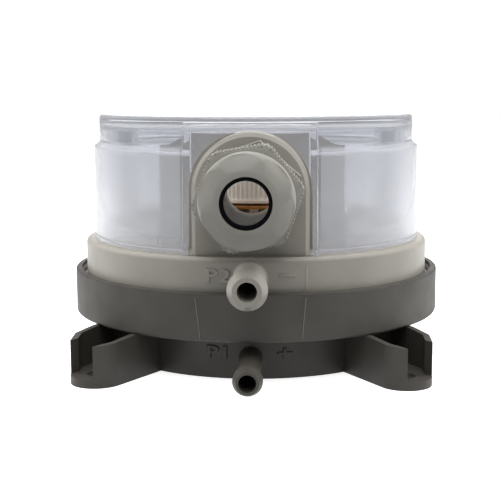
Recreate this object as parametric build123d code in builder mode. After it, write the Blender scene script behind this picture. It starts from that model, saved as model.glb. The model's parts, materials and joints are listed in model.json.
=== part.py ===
"""Differential pressure switch for ventilation air, 85 mm across and 55 mm high.

Millimetres, +Z up. The origin is on the housing axis, in the plane that the switch
stands on. The cable gland and both hose nipples point along -Y.
"""

import os
from math import cos, pi, radians, sin, sqrt

from build123d import *

os.makedirs("parts", exist_ok=True)

# Clearances
running_gap = 0.05
part_gap = 0.3

# Lower housing
drum_r = 34.2
drum_wall = 2.7
drum_floor = 2.4
ring_r = 42.5
ring_bottom_z = 9.6
ring_top_z = 19.7
ring_round = 0.5
rim_wall = 1.4
snap_depth = 0.6
snap_height = 0.9
clamp_z = 13.4
clamp_ledge = 1.1
stop_r = 4.0

# Mounting lugs
lug_hole_x = 32.0
lug_hole_y = -37.3
lug_hole_r = 2.2
lug_nose_r = 5.6
lug_side_angle = 31.0
lug_inner_root_angle = 54.4
lug_outer_root_angle = 26.4
lug_knee = 5.8
lug_wall = 1.4
lug_floor = 1.8
lug_tip_drop = 0.9
lug_slot_width = 8.0
lug_slot_angle = 45.0
lug_pocket_step = 3.4

# Hose nipples
nipple_tip_y = -54.4
nipple_fillet = 0.6
barb_length = 1.4
barb_slope = 0.3
tip_length = 1.8
p1_z = 4.4
p1_shaft_r = 2.4
p1_barb_r = 3.0
p1_tip_r = 2.3
p1_bore_r = 1.75
p2_z = 22.3
p2_shaft_r = 3.5
p2_barb_r = 4.0
p2_tip_r = 2.9
p2_bore_r = 1.95

# Diaphragm and its plates
bead_height = 1.6
bead_width = 3.8
bead_inset = 2.1
tongue_inset = 0.9
tongue_width = 1.4
tongue_depth = 0.7
web_thickness = 0.6
plate_r = 24.0
plate_thickness = 1.0
plate_rise = 1.2
convolution_rise = 2.2
convolution_margin = 1.8

# Upper housing
body_inset = 1.2
flange_height = 3.0
seat_z = 26.5
seat_round = 1.0
floor_thickness = 2.3
chamber_wall = 5.3
collar_inset = 1.2
collar_wall = 1.6
collar_height = 3.8
collar_gap_half = 19.5
guide_wall = 2.5
guide_drop = 3.0
guide_rise = 1.3

# Gland tower and the screen wall behind it
gland_z = 39.6
tower_r = 12.2
tower_wall = 1.6
tower_front_wall = 6.0
tower_face_y = -35.6
tower_edge = 0.8
screen_y = -25.0
screen_thickness = 1.6
screen_half = 19.5
screen_top_z = 51.4
screen_corner_run = 6.5
screen_corner_drop = 3.6

# Clear cover
cover_r = 38.2
cover_wall = 1.5
cover_shoulder_z = 48.2
cover_neck_step = 1.85
cover_neck_rise = 2.1
cover_top_z = 55.0
cover_round = 1.0
box_half_bottom = 14.35
box_half_top = 12.85
box_reach = 1.6
box_drop = 1.4
arch_clearance = 0.55

# Cover screws, their wells and their bosses
cover_screw_x = 31.2
cover_screw_r = 1.5
cover_screw_length = 24.0
cover_head_r = 2.5
cover_head = 2.0
well_clearance = 0.2
well_depth = 3.6
post_wall = 0.6
post_boss_wall = 1.7
post_boss_height = 4.5

# Cover gasket
gasket_trim = 0.3
groove_depth = 0.7
gasket_stand = 0.2
gasket_gap_half = 13.5

# Cable gland
gland_thread_r = 7.95
gland_thread_length = 8.0
gland_hex_across = 19.0
gland_hex_length = 5.0
gland_hex_angle = 19.0
gland_neck_r = 8.0
gland_neck_length = 6.9
claw_step = 0.6
claw_length = 5.5
claw_count = 6
claw_slot = 1.0
nut_gap = 1.0
nut_length = 16.4
nut_dome_length = 7.4
nut_wall = 1.55
nut_angle = 15.0
nut_corner = 0.8
nut_dome_step = 0.1
nut_bulge_share = 0.42
nut_bulge_height = 0.76
nut_lip_r = 6.3
nut_mouth_r = 5.0
nut_mouth_length = 2.0
seal_r = 6.2
seal_bore_r = 4.35
seal_length = 13.9
seal_nose_length = 2.1
seal_taper = 1.8

# Push rod
rod_r = 2.0
rod_flange_r = 5.0
rod_flange_height = 1.0
rod_head_r = 3.5
rod_head_height = 0.8
rod_tip_r = 0.6

# Rocker and its pivot
rocker_half = 4.0
rocker_z = 30.0
rocker_height = 3.0
rocker_arm = 1.2
rocker_back_y = 6.0
rocker_waist_y = -8.8
rocker_tip_y = -14.2
rocker_cup_wall = 0.45
rocker_hub_r = 2.0
nib_width = 1.0
nib_half = 1.0
pivot_setback = 2.1
pivot_r = 1.0

# Bridge that carries the knob
bridge_half = 12.0
bridge_front_y = -8.6
bridge_back_y = 16.0
bridge_top_z = 35.0
bridge_plate = 1.0
bridge_round = 1.5
bridge_leg = 3.0
bridge_leg_depth = 5.0
bridge_back_wall = 3.5
bridge_foot_length = 6.0
bridge_foot_height = 2.4
bridge_screw_x = 7.5
bridge_screw_r = 1.2
bridge_screw_head_r = 2.2
bridge_screw_head = 1.5
bridge_screw_length = 5.4
tube_r = 8.0
tube_wall = 1.6
tube_height = 7.5
key_width = 2.0
key_depth = 0.4

# Adjusting knob
knob_r = 13.0
knob_rib_count = 80
knob_rib_depth = 0.45
knob_flange_step = 0.3
knob_flange_height = 0.7
knob_height = 11.45
knob_wall = 1.8
knob_round = 0.6
knob_hub_wall = 1.4
knob_hub_lift = 1.2
knob_stem_r = 2.4
knob_slot_length = 10.8
knob_slot_width = 1.6

# Range spring and its seat
spring_mean_r = 4.4
spring_wire_r = 0.45
spring_turns = 4.5
spring_seat_z = 40.0
spring_seat_height = 2.0
spigot_height = 1.0
spigot_gap = 0.35

# Contact set
carrier_front_y = -18.5
carrier_back_y = -9.4
carrier_half = 21.0
carrier_arm = 7.0
carrier_arm_back_y = 9.0
carrier_deck_z = 30.8
carrier_arm_z = 33.7
blade_thickness = 0.4
blade_width = 6.5
blade_setback = 1.5
blade_free_x = -13.0
blade_overlap = 1.4
blade_round = 0.6
strip_thickness = 0.5
strip_width = 4.6
leg_width = 2.4
inner_leg_width = 0.8
tongue_width_y = 3.5
tongue_setback = 3.0
tongue_end_x = -11.3
button_r = 0.9
button_x = -12.3
button_height = 0.35
contact_gap = 0.8
front_terminal_y = -3.0
back_terminal_y = 5.0
terminal_screw_r = 1.45
terminal_head_r = 2.2
terminal_head = 1.7
terminal_screw_length = 5.0

# Cross recess in every screw head
recess_r = 1.1
recess_width = 0.6
recess_depth = 0.9

# Sizes of the housings that follow from those above
lower_bore_r = drum_r - drum_wall
lug_root_r = drum_r - drum_wall / 2
lug_pocket_start_r = drum_r + lug_pocket_step
rim_bore_r = ring_r - rim_wall
bead_outer_r = rim_bore_r - bead_inset
bead_inner_r = bead_outer_r - bead_width
tongue_outer_r = bead_outer_r - tongue_inset
tongue_inner_r = tongue_outer_r - tongue_width
upper_clamp_z = clamp_z + bead_height
flange_r = rim_bore_r - part_gap
flange_top_z = upper_clamp_z + flange_height
snap_z = flange_top_z + running_gap
body_r = rim_bore_r - body_inset
chamber_r = body_r - chamber_wall
ceiling_z = seat_z - floor_thickness
guide_r = rod_r + guide_wall
guide_z = ceiling_z - guide_drop
tower_bore_r = tower_r - tower_wall
screen_back_y = screen_y + screen_thickness

# Sizes of the cover and its gasket that follow from those above
cover_bore_r = cover_r - cover_wall
cover_bottom_z = seat_z + gasket_stand
cover_ceiling_z = cover_top_z - cover_wall
box_face_y = tower_face_y - box_reach
box_top_z = cover_top_z - box_drop
arch_r = tower_r + arch_clearance
collar_r = cover_bore_r - collar_inset
gasket_r = cover_bore_r + running_gap
gasket_outer_r = gasket_r + cover_wall - gasket_trim
well_r = cover_head_r + well_clearance
well_z = cover_top_z - well_depth
post_r = well_r + post_wall
post_boss_r = cover_screw_r + post_boss_wall
post_boss_z = seat_z + post_boss_height

# Sizes of the gland that follow from those above
gland_bore_r = seal_r + running_gap
gland_inner_y = tower_face_y + gland_thread_length
neck_root_y = tower_face_y - gland_hex_length
neck_end_y = neck_root_y - gland_neck_length
claw_r = gland_neck_r - claw_step
claw_end_y = neck_end_y - claw_length
nut_back_y = neck_root_y - nut_gap
nut_front_y = nut_back_y - nut_length
nut_dome_y = nut_front_y + nut_dome_length
nut_bore_r = gland_neck_r + running_gap
nut_across = 2 * (nut_bore_r + nut_wall)
nut_crown_r = nut_across / sqrt(3)
nut_dome_r = nut_across / 2 - nut_dome_step
seal_nose_r = nut_mouth_r - 2 * running_gap
seal_front_y = nut_front_y + 2 * running_gap
seal_back_y = seal_front_y + seal_length

# Sizes of the mechanism that follow from those above
lower_plate_z = clamp_z + plate_rise
web_z = lower_plate_z + plate_thickness
upper_plate_z = web_z + web_thickness
convolution_end_r = bead_inner_r - convolution_margin
convolution_mid_r = (plate_r + convolution_end_r) / 2
rim_web_z = clamp_z + (bead_height - web_thickness) / 2
rod_hole_r = rod_r + running_gap
rod_head_z = lower_plate_z - rod_head_height
rod_flange_z = upper_plate_z + plate_thickness
rod_top_z = rocker_z - running_gap
rocker_top_z = rocker_z + rocker_height
arm_z = rocker_top_z - rocker_arm
rocker_cup_r = spring_mean_r + spring_wire_r + rocker_cup_wall
spigot_r = spring_mean_r - spring_wire_r - spigot_gap
pivot_y = bridge_front_y + pivot_setback
pivot_z = rocker_z + rocker_height / 2
leg_top_z = bridge_top_z - bridge_plate
hub_half = bridge_half - bridge_leg - part_gap
bridge_screw_y = bridge_back_y + bridge_foot_length / 2
bridge_boss_z = seat_z + bridge_foot_height - bridge_screw_length - 1.0
tube_bore_r = tube_r - tube_wall
tube_top_z = bridge_top_z + tube_height
spring_seat_r = tube_bore_r - part_gap
knob_bottom_z = bridge_top_z + running_gap
knob_top_z = knob_bottom_z + knob_height
knob_ceiling_z = knob_top_z - knob_wall
knob_hub_bore_r = tube_r + running_gap
knob_hub_z = knob_bottom_z + knob_hub_lift
knob_stem_z = spring_seat_z - 2 * spigot_height

# Sizes of the contact set that follow from those above
arm_inner_x = carrier_half - carrier_arm
terminal_x = carrier_half - carrier_arm / 2
plate_half = strip_width / 2
strip_top_z = carrier_arm_z + strip_thickness
blade_z = strip_top_z
blade_top_z = blade_z + blade_thickness
blade_front_y = carrier_front_y + blade_setback
blade_back_y = blade_front_y + blade_width
blade_end_x = arm_inner_x + blade_overlap
nib_z = blade_z - running_gap
tongue_front_y = carrier_front_y + tongue_setback
tongue_back_y = tongue_front_y + tongue_width_y
nc_tongue_z = blade_top_z + running_gap + button_height
no_button_z = blade_z - contact_gap
no_tongue_z = no_button_z - button_height - strip_thickness


def front_plane(y, z=0.0):
    """Return the upright plane at y that faces along -Y, with its origin at height z."""
    return Plane(origin=(0, y, z), x_dir=(1, 0, 0), z_dir=(0, -1, 0))


def hose_nipple(body_face_r, depth, axis_z, shaft_r, barb_r, tip_r):
    """Return a solid nipple along -Y with a filleted root, one barb and a taper tip."""
    root_y = depth - body_face_r
    fillet_y = -body_face_r - nipple_fillet
    fillet_top = shaft_r + nipple_fillet
    lean = nipple_fillet * cos(radians(45))
    barb_y = nipple_tip_y + tip_length
    with BuildPart() as made:
        with BuildSketch(Plane.YZ):
            with BuildLine():
                Line((root_y, axis_z), (root_y, axis_z + fillet_top))
                Line((root_y, axis_z + fillet_top), (-body_face_r, axis_z + fillet_top))
                ThreePointArc(
                    (-body_face_r, axis_z + fillet_top),
                    (fillet_y + lean, axis_z + fillet_top - lean),
                    (fillet_y, axis_z + shaft_r),
                )
                Polyline(
                    (fillet_y, axis_z + shaft_r),
                    (barb_y + barb_length, axis_z + shaft_r),
                    (barb_y + barb_length - barb_slope, axis_z + barb_r),
                    (barb_y, axis_z + barb_r),
                    (nipple_tip_y, axis_z + tip_r),
                    (nipple_tip_y, axis_z),
                    (root_y, axis_z),
                )
            make_face()
        revolve(axis=Axis((0, 0, axis_z), (0, 1, 0)))
    return made.part


def pan_screw(x, y, seat, length, shank_r, head_r, head_height):
    """Return a pan-head screw on the plane z = seat, with a cross recess."""
    with BuildPart() as made:
        with BuildSketch(Plane.XZ.offset(-y)):
            with BuildLine():
                Polyline(
                    (x, seat + head_height),
                    (x, seat - length),
                    (x + shank_r / 2, seat - length),
                    (x + shank_r, seat - length + shank_r),
                    (x + shank_r, seat),
                    (x + head_r, seat),
                    (x + head_r, seat + head_height * 0.6),
                    (x + head_r * 0.75, seat + head_height),
                    (x, seat + head_height),
                )
            make_face()
        revolve(axis=Axis((x, y, 0), (0, 0, 1)))
        with BuildSketch(Plane.XY.offset(seat + head_height)):
            with Locations((x, y)):
                Rectangle(2 * recess_r, recess_width)
                Rectangle(recess_width, 2 * recess_r)
        extrude(amount=-recess_depth, mode=Mode.SUBTRACT)
    return made.part


def lug_outline(side):
    """Return the plan face of the mounting lug on one side, +1 or -1."""
    lean = radians(lug_side_angle)
    nose_x = side * lug_hole_x
    inner_x = nose_x - side * lug_nose_r * cos(lean)
    inner_y = lug_hole_y - lug_nose_r * sin(lean)
    inner_turn = radians(lug_inner_root_angle)
    outer_turn = radians(lug_outer_root_angle)
    root_x = side * lug_root_r * cos(inner_turn)
    root_y = -lug_root_r * sin(inner_turn)
    outer_x = nose_x + side * lug_nose_r
    tip_y = lug_hole_y - lug_nose_r
    with BuildSketch() as made:
        with BuildLine():
            Line((root_x, root_y), (inner_x, inner_y))
            ThreePointArc((inner_x, inner_y), (nose_x, tip_y), (outer_x, lug_hole_y))
            Polyline(
                (outer_x, lug_hole_y),
                (outer_x, lug_hole_y + lug_knee),
                (side * lug_root_r * cos(outer_turn), -lug_root_r * sin(outer_turn)),
                (root_x, root_y),
            )
        make_face()
    return made.sketch


def lug_pocket(side):
    """Return the plan face of the hollow in a lug, which opens through its nose."""
    with BuildSketch() as made:
        add(lug_outline(side))
        offset(amount=-lug_wall)
        Circle(lug_pocket_start_r, mode=Mode.SUBTRACT)
        slot_turn = -lug_slot_angle if side > 0 else lug_slot_angle - 180
        with Locations(Location((side * lug_hole_x, lug_hole_y), slot_turn)):
            with Locations((lug_nose_r, 0)):
                Rectangle(2 * lug_nose_r, lug_slot_width)
    return made.sketch


# Lower housing: drum, clamping ring, two lugs and the high-pressure nipple
with BuildPart() as lower_housing:
    with BuildSketch(Plane.XZ):
        with BuildLine():
            Polyline(
                (0, 0),
                (drum_r, 0),
                (drum_r, ring_bottom_z),
                (ring_r, ring_bottom_z),
                (ring_r, ring_top_z),
                (rim_bore_r, ring_top_z),
                (rim_bore_r, snap_z + snap_height),
                (rim_bore_r - snap_depth, snap_z + snap_height / 2),
                (rim_bore_r - snap_depth, snap_z),
                (rim_bore_r, snap_z),
                (rim_bore_r, clamp_z),
                (0, clamp_z),
                (0, 0),
            )
        make_face()
    revolve(axis=Axis.Z)
    ring_edges = lower_housing.edges().filter_by(GeomType.CIRCLE)
    fillet(ring_edges.filter_by(lambda edge: edge.radius > ring_r - 0.01), ring_round)
    for side in (-1, 1):
        with BuildSketch():
            add(lug_outline(side))
        extrude(amount=ring_bottom_z)
        with BuildSketch(Plane.XY.offset(lug_floor)):
            add(lug_pocket(side))
        extrude(amount=ring_bottom_z - lug_floor, mode=Mode.SUBTRACT)
        with BuildSketch():
            with Locations((side * lug_hole_x, lug_hole_y)):
                Circle(lug_hole_r)
        extrude(amount=lug_floor, mode=Mode.SUBTRACT)
        reach = sqrt(lug_hole_x**2 + lug_hole_y**2) + lug_nose_r
        along_lug = Plane(
            origin=(0, 0, 0),
            x_dir=(side * lug_hole_x, lug_hole_y, 0),
            z_dir=(lug_hole_y, -side * lug_hole_x, 0),
        )
        with BuildSketch(along_lug):
            with BuildLine():
                Polyline(
                    (ring_r, ring_bottom_z),
                    (reach, ring_bottom_z - lug_tip_drop),
                    (reach + lug_nose_r, ring_bottom_z - lug_tip_drop),
                    (reach + lug_nose_r, ring_top_z),
                    (ring_r, ring_bottom_z),
                )
            make_face()
        extrude(amount=2 * lug_nose_r, both=True, mode=Mode.SUBTRACT)
    add(hose_nipple(drum_r, drum_wall / 2, p1_z, p1_shaft_r, p1_barb_r, p1_tip_r))
    with BuildSketch(Plane.XZ):
        with BuildLine():
            Polyline(
                (0, drum_floor),
                (lower_bore_r, drum_floor),
                (lower_bore_r, clamp_z - clamp_ledge),
                (bead_inner_r, clamp_z - clamp_ledge),
                (bead_inner_r, clamp_z),
                (0, clamp_z),
                (0, drum_floor),
            )
        make_face()
    revolve(axis=Axis.Z, mode=Mode.SUBTRACT)
    with BuildSketch(Plane.XY.offset(clamp_z)):
        Circle(tongue_outer_r)
        Circle(tongue_inner_r, mode=Mode.SUBTRACT)
    extrude(amount=-tongue_depth, mode=Mode.SUBTRACT)
    with BuildSketch(Plane.XY.offset(drum_floor)):
        Circle(stop_r)
    extrude(amount=rod_head_z - running_gap - drum_floor)
    with BuildSketch(front_plane(nipple_tip_y, p1_z)):
        Circle(p1_bore_r)
    extrude(amount=nipple_tip_y + lower_bore_r - 1.0, mode=Mode.SUBTRACT)
    with BuildSketch(front_plane(-ring_r, p2_z)):
        Circle(p2_shaft_r + part_gap)
    extrude(amount=-2 * rim_wall, mode=Mode.SUBTRACT)
lower_housing.part.label = "lower_housing"

# Diaphragm: clamped rim with a tongue, a rolled convolution and a flat centre
with BuildPart() as diaphragm:
    with BuildSketch(Plane.XZ):
        with BuildLine():
            ThreePointArc(
                (plate_r, web_z + web_thickness),
                (convolution_mid_r, web_z + web_thickness + convolution_rise),
                (convolution_end_r, rim_web_z + web_thickness),
            )
            Polyline(
                (convolution_end_r, rim_web_z + web_thickness),
                (bead_inner_r, rim_web_z + web_thickness),
                (bead_inner_r, upper_clamp_z),
                (bead_outer_r, upper_clamp_z),
                (bead_outer_r, clamp_z),
                (tongue_outer_r, clamp_z),
                (tongue_outer_r, clamp_z - tongue_depth),
                (tongue_inner_r, clamp_z - tongue_depth),
                (tongue_inner_r, clamp_z),
                (bead_inner_r, clamp_z),
                (bead_inner_r, rim_web_z),
                (convolution_end_r, rim_web_z),
            )
            ThreePointArc(
                (convolution_end_r, rim_web_z),
                (convolution_mid_r, web_z + convolution_rise),
                (plate_r, web_z),
            )
            Polyline(
                (plate_r, web_z),
                (rod_hole_r, web_z),
                (rod_hole_r, web_z + web_thickness),
                (plate_r, web_z + web_thickness),
            )
        make_face()
    revolve(axis=Axis.Z)
diaphragm.part.label = "diaphragm"

# Stiffening plates below and above the flat centre of the diaphragm
with BuildPart() as lower_plate:
    with BuildSketch(Plane.XY.offset(lower_plate_z)):
        Circle(plate_r)
        Circle(rod_hole_r, mode=Mode.SUBTRACT)
    extrude(amount=plate_thickness)
    rim = lower_plate.edges().filter_by(GeomType.CIRCLE).group_by(SortBy.RADIUS)[-1]
    fillet(rim, plate_thickness * 0.3)
lower_plate.part.label = "lower_plate"

with BuildPart() as upper_plate:
    with BuildSketch(Plane.XY.offset(upper_plate_z)):
        Circle(plate_r)
        Circle(rod_hole_r, mode=Mode.SUBTRACT)
    extrude(amount=plate_thickness)
    rim = upper_plate.edges().filter_by(GeomType.CIRCLE).group_by(SortBy.RADIUS)[-1]
    fillet(rim, plate_thickness * 0.3)
upper_plate.part.label = "upper_plate"

# Push rod: riveted through both plates, guided by the floor, pointed at the top
with BuildPart() as push_rod:
    with BuildSketch(Plane.XZ):
        with BuildLine():
            Polyline(
                (0, rod_head_z),
                (rod_head_r, rod_head_z),
                (rod_head_r, lower_plate_z),
                (rod_r, lower_plate_z),
                (rod_r, rod_flange_z),
                (rod_flange_r, rod_flange_z),
                (rod_flange_r, rod_flange_z + rod_flange_height),
                (rod_r, rod_flange_z + rod_flange_height),
                (rod_r, rod_top_z - rod_r + rod_tip_r),
                (rod_tip_r, rod_top_z),
                (0, rod_top_z),
                (0, rod_head_z),
            )
        make_face()
    revolve(axis=Axis.Z)
push_rod.part.label = "push_rod"

# Upper housing: clamping flange, floor, collar, gland tower, screen and P2 nipple
with BuildPart() as upper_housing:
    with BuildSketch(Plane.XZ):
        with BuildLine():
            Polyline(
                (0, upper_clamp_z),
                (flange_r, upper_clamp_z),
                (flange_r, flange_top_z),
                (body_r, flange_top_z),
                (body_r, seat_z),
                (collar_r, seat_z),
                (collar_r, seat_z + collar_height),
                (collar_r - collar_wall, seat_z + collar_height),
                (collar_r - collar_wall, seat_z),
                (0, seat_z),
                (0, upper_clamp_z),
            )
        make_face()
    revolve(axis=Axis.Z)
    seat_rim = upper_housing.edges().filter_by(
        lambda edge: edge.geom_type == GeomType.CIRCLE
        and abs(edge.radius - body_r) < 0.01
        and abs(edge.center().Z - seat_z) < 0.01
    )
    fillet(seat_rim, seat_round)
    with BuildSketch(Plane.XY.offset(seat_z)):
        with Locations((0, -collar_r)):
            Rectangle(2 * collar_gap_half, collar_r)
    extrude(amount=collar_height, mode=Mode.SUBTRACT)
    with BuildSketch(Plane.XY.offset(seat_z)):
        Circle(gasket_outer_r)
        Circle(gasket_r, mode=Mode.SUBTRACT)
    extrude(amount=-groove_depth, mode=Mode.SUBTRACT)
    with BuildSketch(Plane.XZ):
        with BuildLine():
            Polyline(
                (0, upper_clamp_z),
                (chamber_r, upper_clamp_z),
                (chamber_r, ceiling_z),
                (0, ceiling_z),
                (0, upper_clamp_z),
            )
        make_face()
    revolve(axis=Axis.Z, mode=Mode.SUBTRACT)
    with BuildSketch(Plane.XY.offset(guide_z)):
        Circle(guide_r)
    extrude(amount=seat_z + guide_rise - guide_z)
    with BuildSketch(Plane.XY.offset(seat_z)):
        with Locations((-bridge_screw_x, bridge_screw_y), (bridge_screw_x, bridge_screw_y)):
            Circle(bridge_screw_head_r)
    extrude(amount=bridge_boss_z - seat_z)
    with BuildSketch(front_plane(screen_back_y)):
        with BuildLine():
            Polyline(
                (-screen_half, seat_z),
                (-screen_half, screen_top_z - screen_corner_drop),
                (-screen_half + screen_corner_run, screen_top_z),
                (screen_half - screen_corner_run, screen_top_z),
                (screen_half, screen_top_z - screen_corner_drop),
                (screen_half, seat_z),
                (-screen_half, seat_z),
            )
        make_face()
    extrude(amount=screen_thickness)
    with BuildSketch(front_plane(screen_y)):
        with BuildLine():
            Polyline(
                (-tower_r, gland_z), (-tower_r, seat_z), (tower_r, seat_z), (tower_r, gland_z)
            )
            ThreePointArc((tower_r, gland_z), (0, gland_z + tower_r), (-tower_r, gland_z))
        make_face()
    extrude(amount=screen_y - tower_face_y)
    tower_face = upper_housing.faces().filter_by(
        lambda face: face.geom_type == GeomType.PLANE
        and abs(face.center().Y - tower_face_y) < 0.01
    )
    arch_edges = tower_face.edges().filter_by(
        lambda edge: edge.center().Z > seat_z + running_gap
    )
    chamfer(arch_edges, tower_edge)
    with BuildSketch(front_plane(screen_back_y)):
        with BuildLine():
            Polyline(
                (-tower_bore_r, gland_z),
                (-tower_bore_r, seat_z + tower_wall),
                (tower_bore_r, seat_z + tower_wall),
                (tower_bore_r, gland_z),
            )
            ThreePointArc(
                (tower_bore_r, gland_z), (0, gland_z + tower_bore_r), (-tower_bore_r, gland_z)
            )
        make_face()
    extrude(amount=screen_back_y - tower_face_y - tower_front_wall, mode=Mode.SUBTRACT)
    with BuildSketch(front_plane(screen_y, gland_z)):
        Circle(gland_thread_r + running_gap)
    extrude(amount=screen_y - tower_face_y, mode=Mode.SUBTRACT)
    with BuildSketch(Plane.XY.offset(seat_z)):
        with Locations((-cover_screw_x, 0), (cover_screw_x, 0)):
            Circle(post_boss_r)
    extrude(amount=post_boss_z - seat_z)
    with BuildSketch(Plane.XY.offset(post_boss_z)):
        with Locations((-cover_screw_x, 0), (cover_screw_x, 0)):
            Circle(cover_screw_r + running_gap)
    extrude(amount=ceiling_z + 1.0 - post_boss_z, mode=Mode.SUBTRACT)
    with BuildSketch(Plane.XY.offset(seat_z)):
        with Locations((-bridge_screw_x, bridge_screw_y), (bridge_screw_x, bridge_screw_y)):
            Circle(bridge_screw_r + running_gap)
    extrude(amount=bridge_foot_height - bridge_screw_length, mode=Mode.SUBTRACT)
    with BuildSketch(Plane.XY.offset(guide_z)):
        Circle(rod_hole_r)
    extrude(amount=seat_z + guide_rise - guide_z, mode=Mode.SUBTRACT)
    add(hose_nipple(body_r, body_r - chamber_r - 1.0, p2_z, p2_shaft_r, p2_barb_r, p2_tip_r))
    with BuildSketch(front_plane(nipple_tip_y, p2_z)):
        Circle(p2_bore_r)
    extrude(amount=nipple_tip_y + chamber_r - 1.0, mode=Mode.SUBTRACT)
upper_housing.part.label = "upper_housing"

# Cover gasket: a split ring in the groove, open in front of the tower
with BuildPart() as cover_gasket:
    with BuildSketch(Plane.XY.offset(seat_z - groove_depth)):
        Circle(gasket_outer_r)
        Circle(gasket_r, mode=Mode.SUBTRACT)
        with Locations((0, -gasket_r)):
            Rectangle(2 * gasket_gap_half, gasket_r, mode=Mode.SUBTRACT)
    extrude(amount=groove_depth + gasket_stand)
cover_gasket.part.label = "cover_gasket"


def cover_profile(inset, bottom_z, top_z, edge_round):
    """Return half the cover's upright section, set in by a wall thickness."""
    side_r = cover_r - inset
    neck_r = side_r - cover_neck_step
    lean = edge_round * (1 - cos(radians(45)))
    with BuildSketch(Plane.XZ) as made:
        with BuildLine():
            Polyline(
                (0, bottom_z),
                (side_r, bottom_z),
                (side_r, cover_shoulder_z - inset / 2),
                (neck_r, cover_shoulder_z + cover_neck_rise - inset / 2),
                (neck_r, top_z - edge_round),
            )
            ThreePointArc(
                (neck_r, top_z - edge_round),
                (neck_r - lean, top_z - lean),
                (neck_r - edge_round, top_z),
            )
            Polyline((neck_r - edge_round, top_z), (0, top_z), (0, bottom_z))
        make_face()
    return made.sketch


def box_front(inset, bottom_z):
    """Return the front face of the flat box, set in by a wall thickness."""
    top_z = box_top_z - inset
    with BuildSketch() as made:
        with BuildLine():
            Polyline(
                (inset - box_half_bottom, bottom_z),
                (inset - box_half_top, top_z),
                (box_half_top - inset, top_z),
                (box_half_bottom - inset, bottom_z),
                (inset - box_half_bottom, bottom_z),
            )
        make_face()
    return made.sketch


# Clear cover: shouldered dome, flat front box, arch over the gland, screw posts
with BuildPart() as clear_cover:
    add(cover_profile(0, cover_bottom_z, cover_top_z, cover_round))
    revolve(axis=Axis.Z)
    with BuildSketch(front_plane(screen_y)):
        add(box_front(0, cover_bottom_z))
    extrude(amount=screen_y - box_face_y)
    with BuildSketch(front_plane(box_face_y)):
        with Locations((0, cover_top_z / 2)):
            Rectangle(2 * box_half_bottom, cover_top_z)
    extrude(amount=cover_r, mode=Mode.SUBTRACT)
    add(cover_profile(cover_wall, cover_bottom_z, cover_ceiling_z, cover_round / 2))
    revolve(axis=Axis.Z, mode=Mode.SUBTRACT)
    with BuildSketch(front_plane(screen_y)):
        add(box_front(cover_wall, cover_bottom_z))
    extrude(amount=screen_y - box_face_y - cover_wall, mode=Mode.SUBTRACT)
    with BuildSketch(front_plane(screen_y)):
        with BuildLine():
            Polyline(
                (-arch_r, gland_z),
                (-arch_r, cover_bottom_z),
                (arch_r, cover_bottom_z),
                (arch_r, gland_z),
            )
            ThreePointArc((arch_r, gland_z), (0, gland_z + arch_r), (-arch_r, gland_z))
        make_face()
    extrude(amount=screen_y - box_face_y, mode=Mode.SUBTRACT)
    with BuildSketch(Plane.XY.offset(post_boss_z + part_gap)):
        with Locations((-cover_screw_x, 0), (cover_screw_x, 0)):
            Circle(post_r)
    extrude(amount=cover_ceiling_z - post_boss_z - part_gap)
    with BuildSketch(Plane.XY.offset(cover_top_z)):
        with Locations((-cover_screw_x, 0), (cover_screw_x, 0)):
            Circle(well_r)
    extrude(amount=well_z - cover_top_z, mode=Mode.SUBTRACT)
    with BuildSketch(Plane.XY.offset(well_z)):
        with Locations((-cover_screw_x, 0), (cover_screw_x, 0)):
            Circle(cover_screw_r + running_gap)
    extrude(amount=post_boss_z - well_z, mode=Mode.SUBTRACT)
clear_cover.part.label = "clear_cover"

# Cable gland body: thread in the tower, hexagon, neck and a ring of claws
with BuildPart() as gland_body:
    with BuildSketch(front_plane(gland_inner_y, gland_z)):
        Circle(gland_thread_r)
    extrude(amount=gland_thread_length)
    with BuildSketch(front_plane(tower_face_y, gland_z)):
        RegularPolygon(gland_hex_across / 2, 6, major_radius=False, rotation=gland_hex_angle)
    extrude(amount=gland_hex_length)
    with BuildSketch(front_plane(neck_root_y, gland_z)):
        Circle(gland_neck_r)
    extrude(amount=gland_neck_length)
    with BuildSketch(front_plane(neck_end_y, gland_z)):
        Circle(claw_r)
    extrude(amount=claw_length)
    with BuildSketch(front_plane(claw_end_y, gland_z)):
        Circle(gland_bore_r)
    extrude(amount=claw_end_y - gland_inner_y, mode=Mode.SUBTRACT)
    with BuildSketch(front_plane(claw_end_y, gland_z)):
        with PolarLocations(claw_r, claw_count):
            Rectangle(2 * claw_r - gland_bore_r, claw_slot)
    extrude(amount=-claw_length, mode=Mode.SUBTRACT)
gland_body.part.label = "gland_body"

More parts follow.
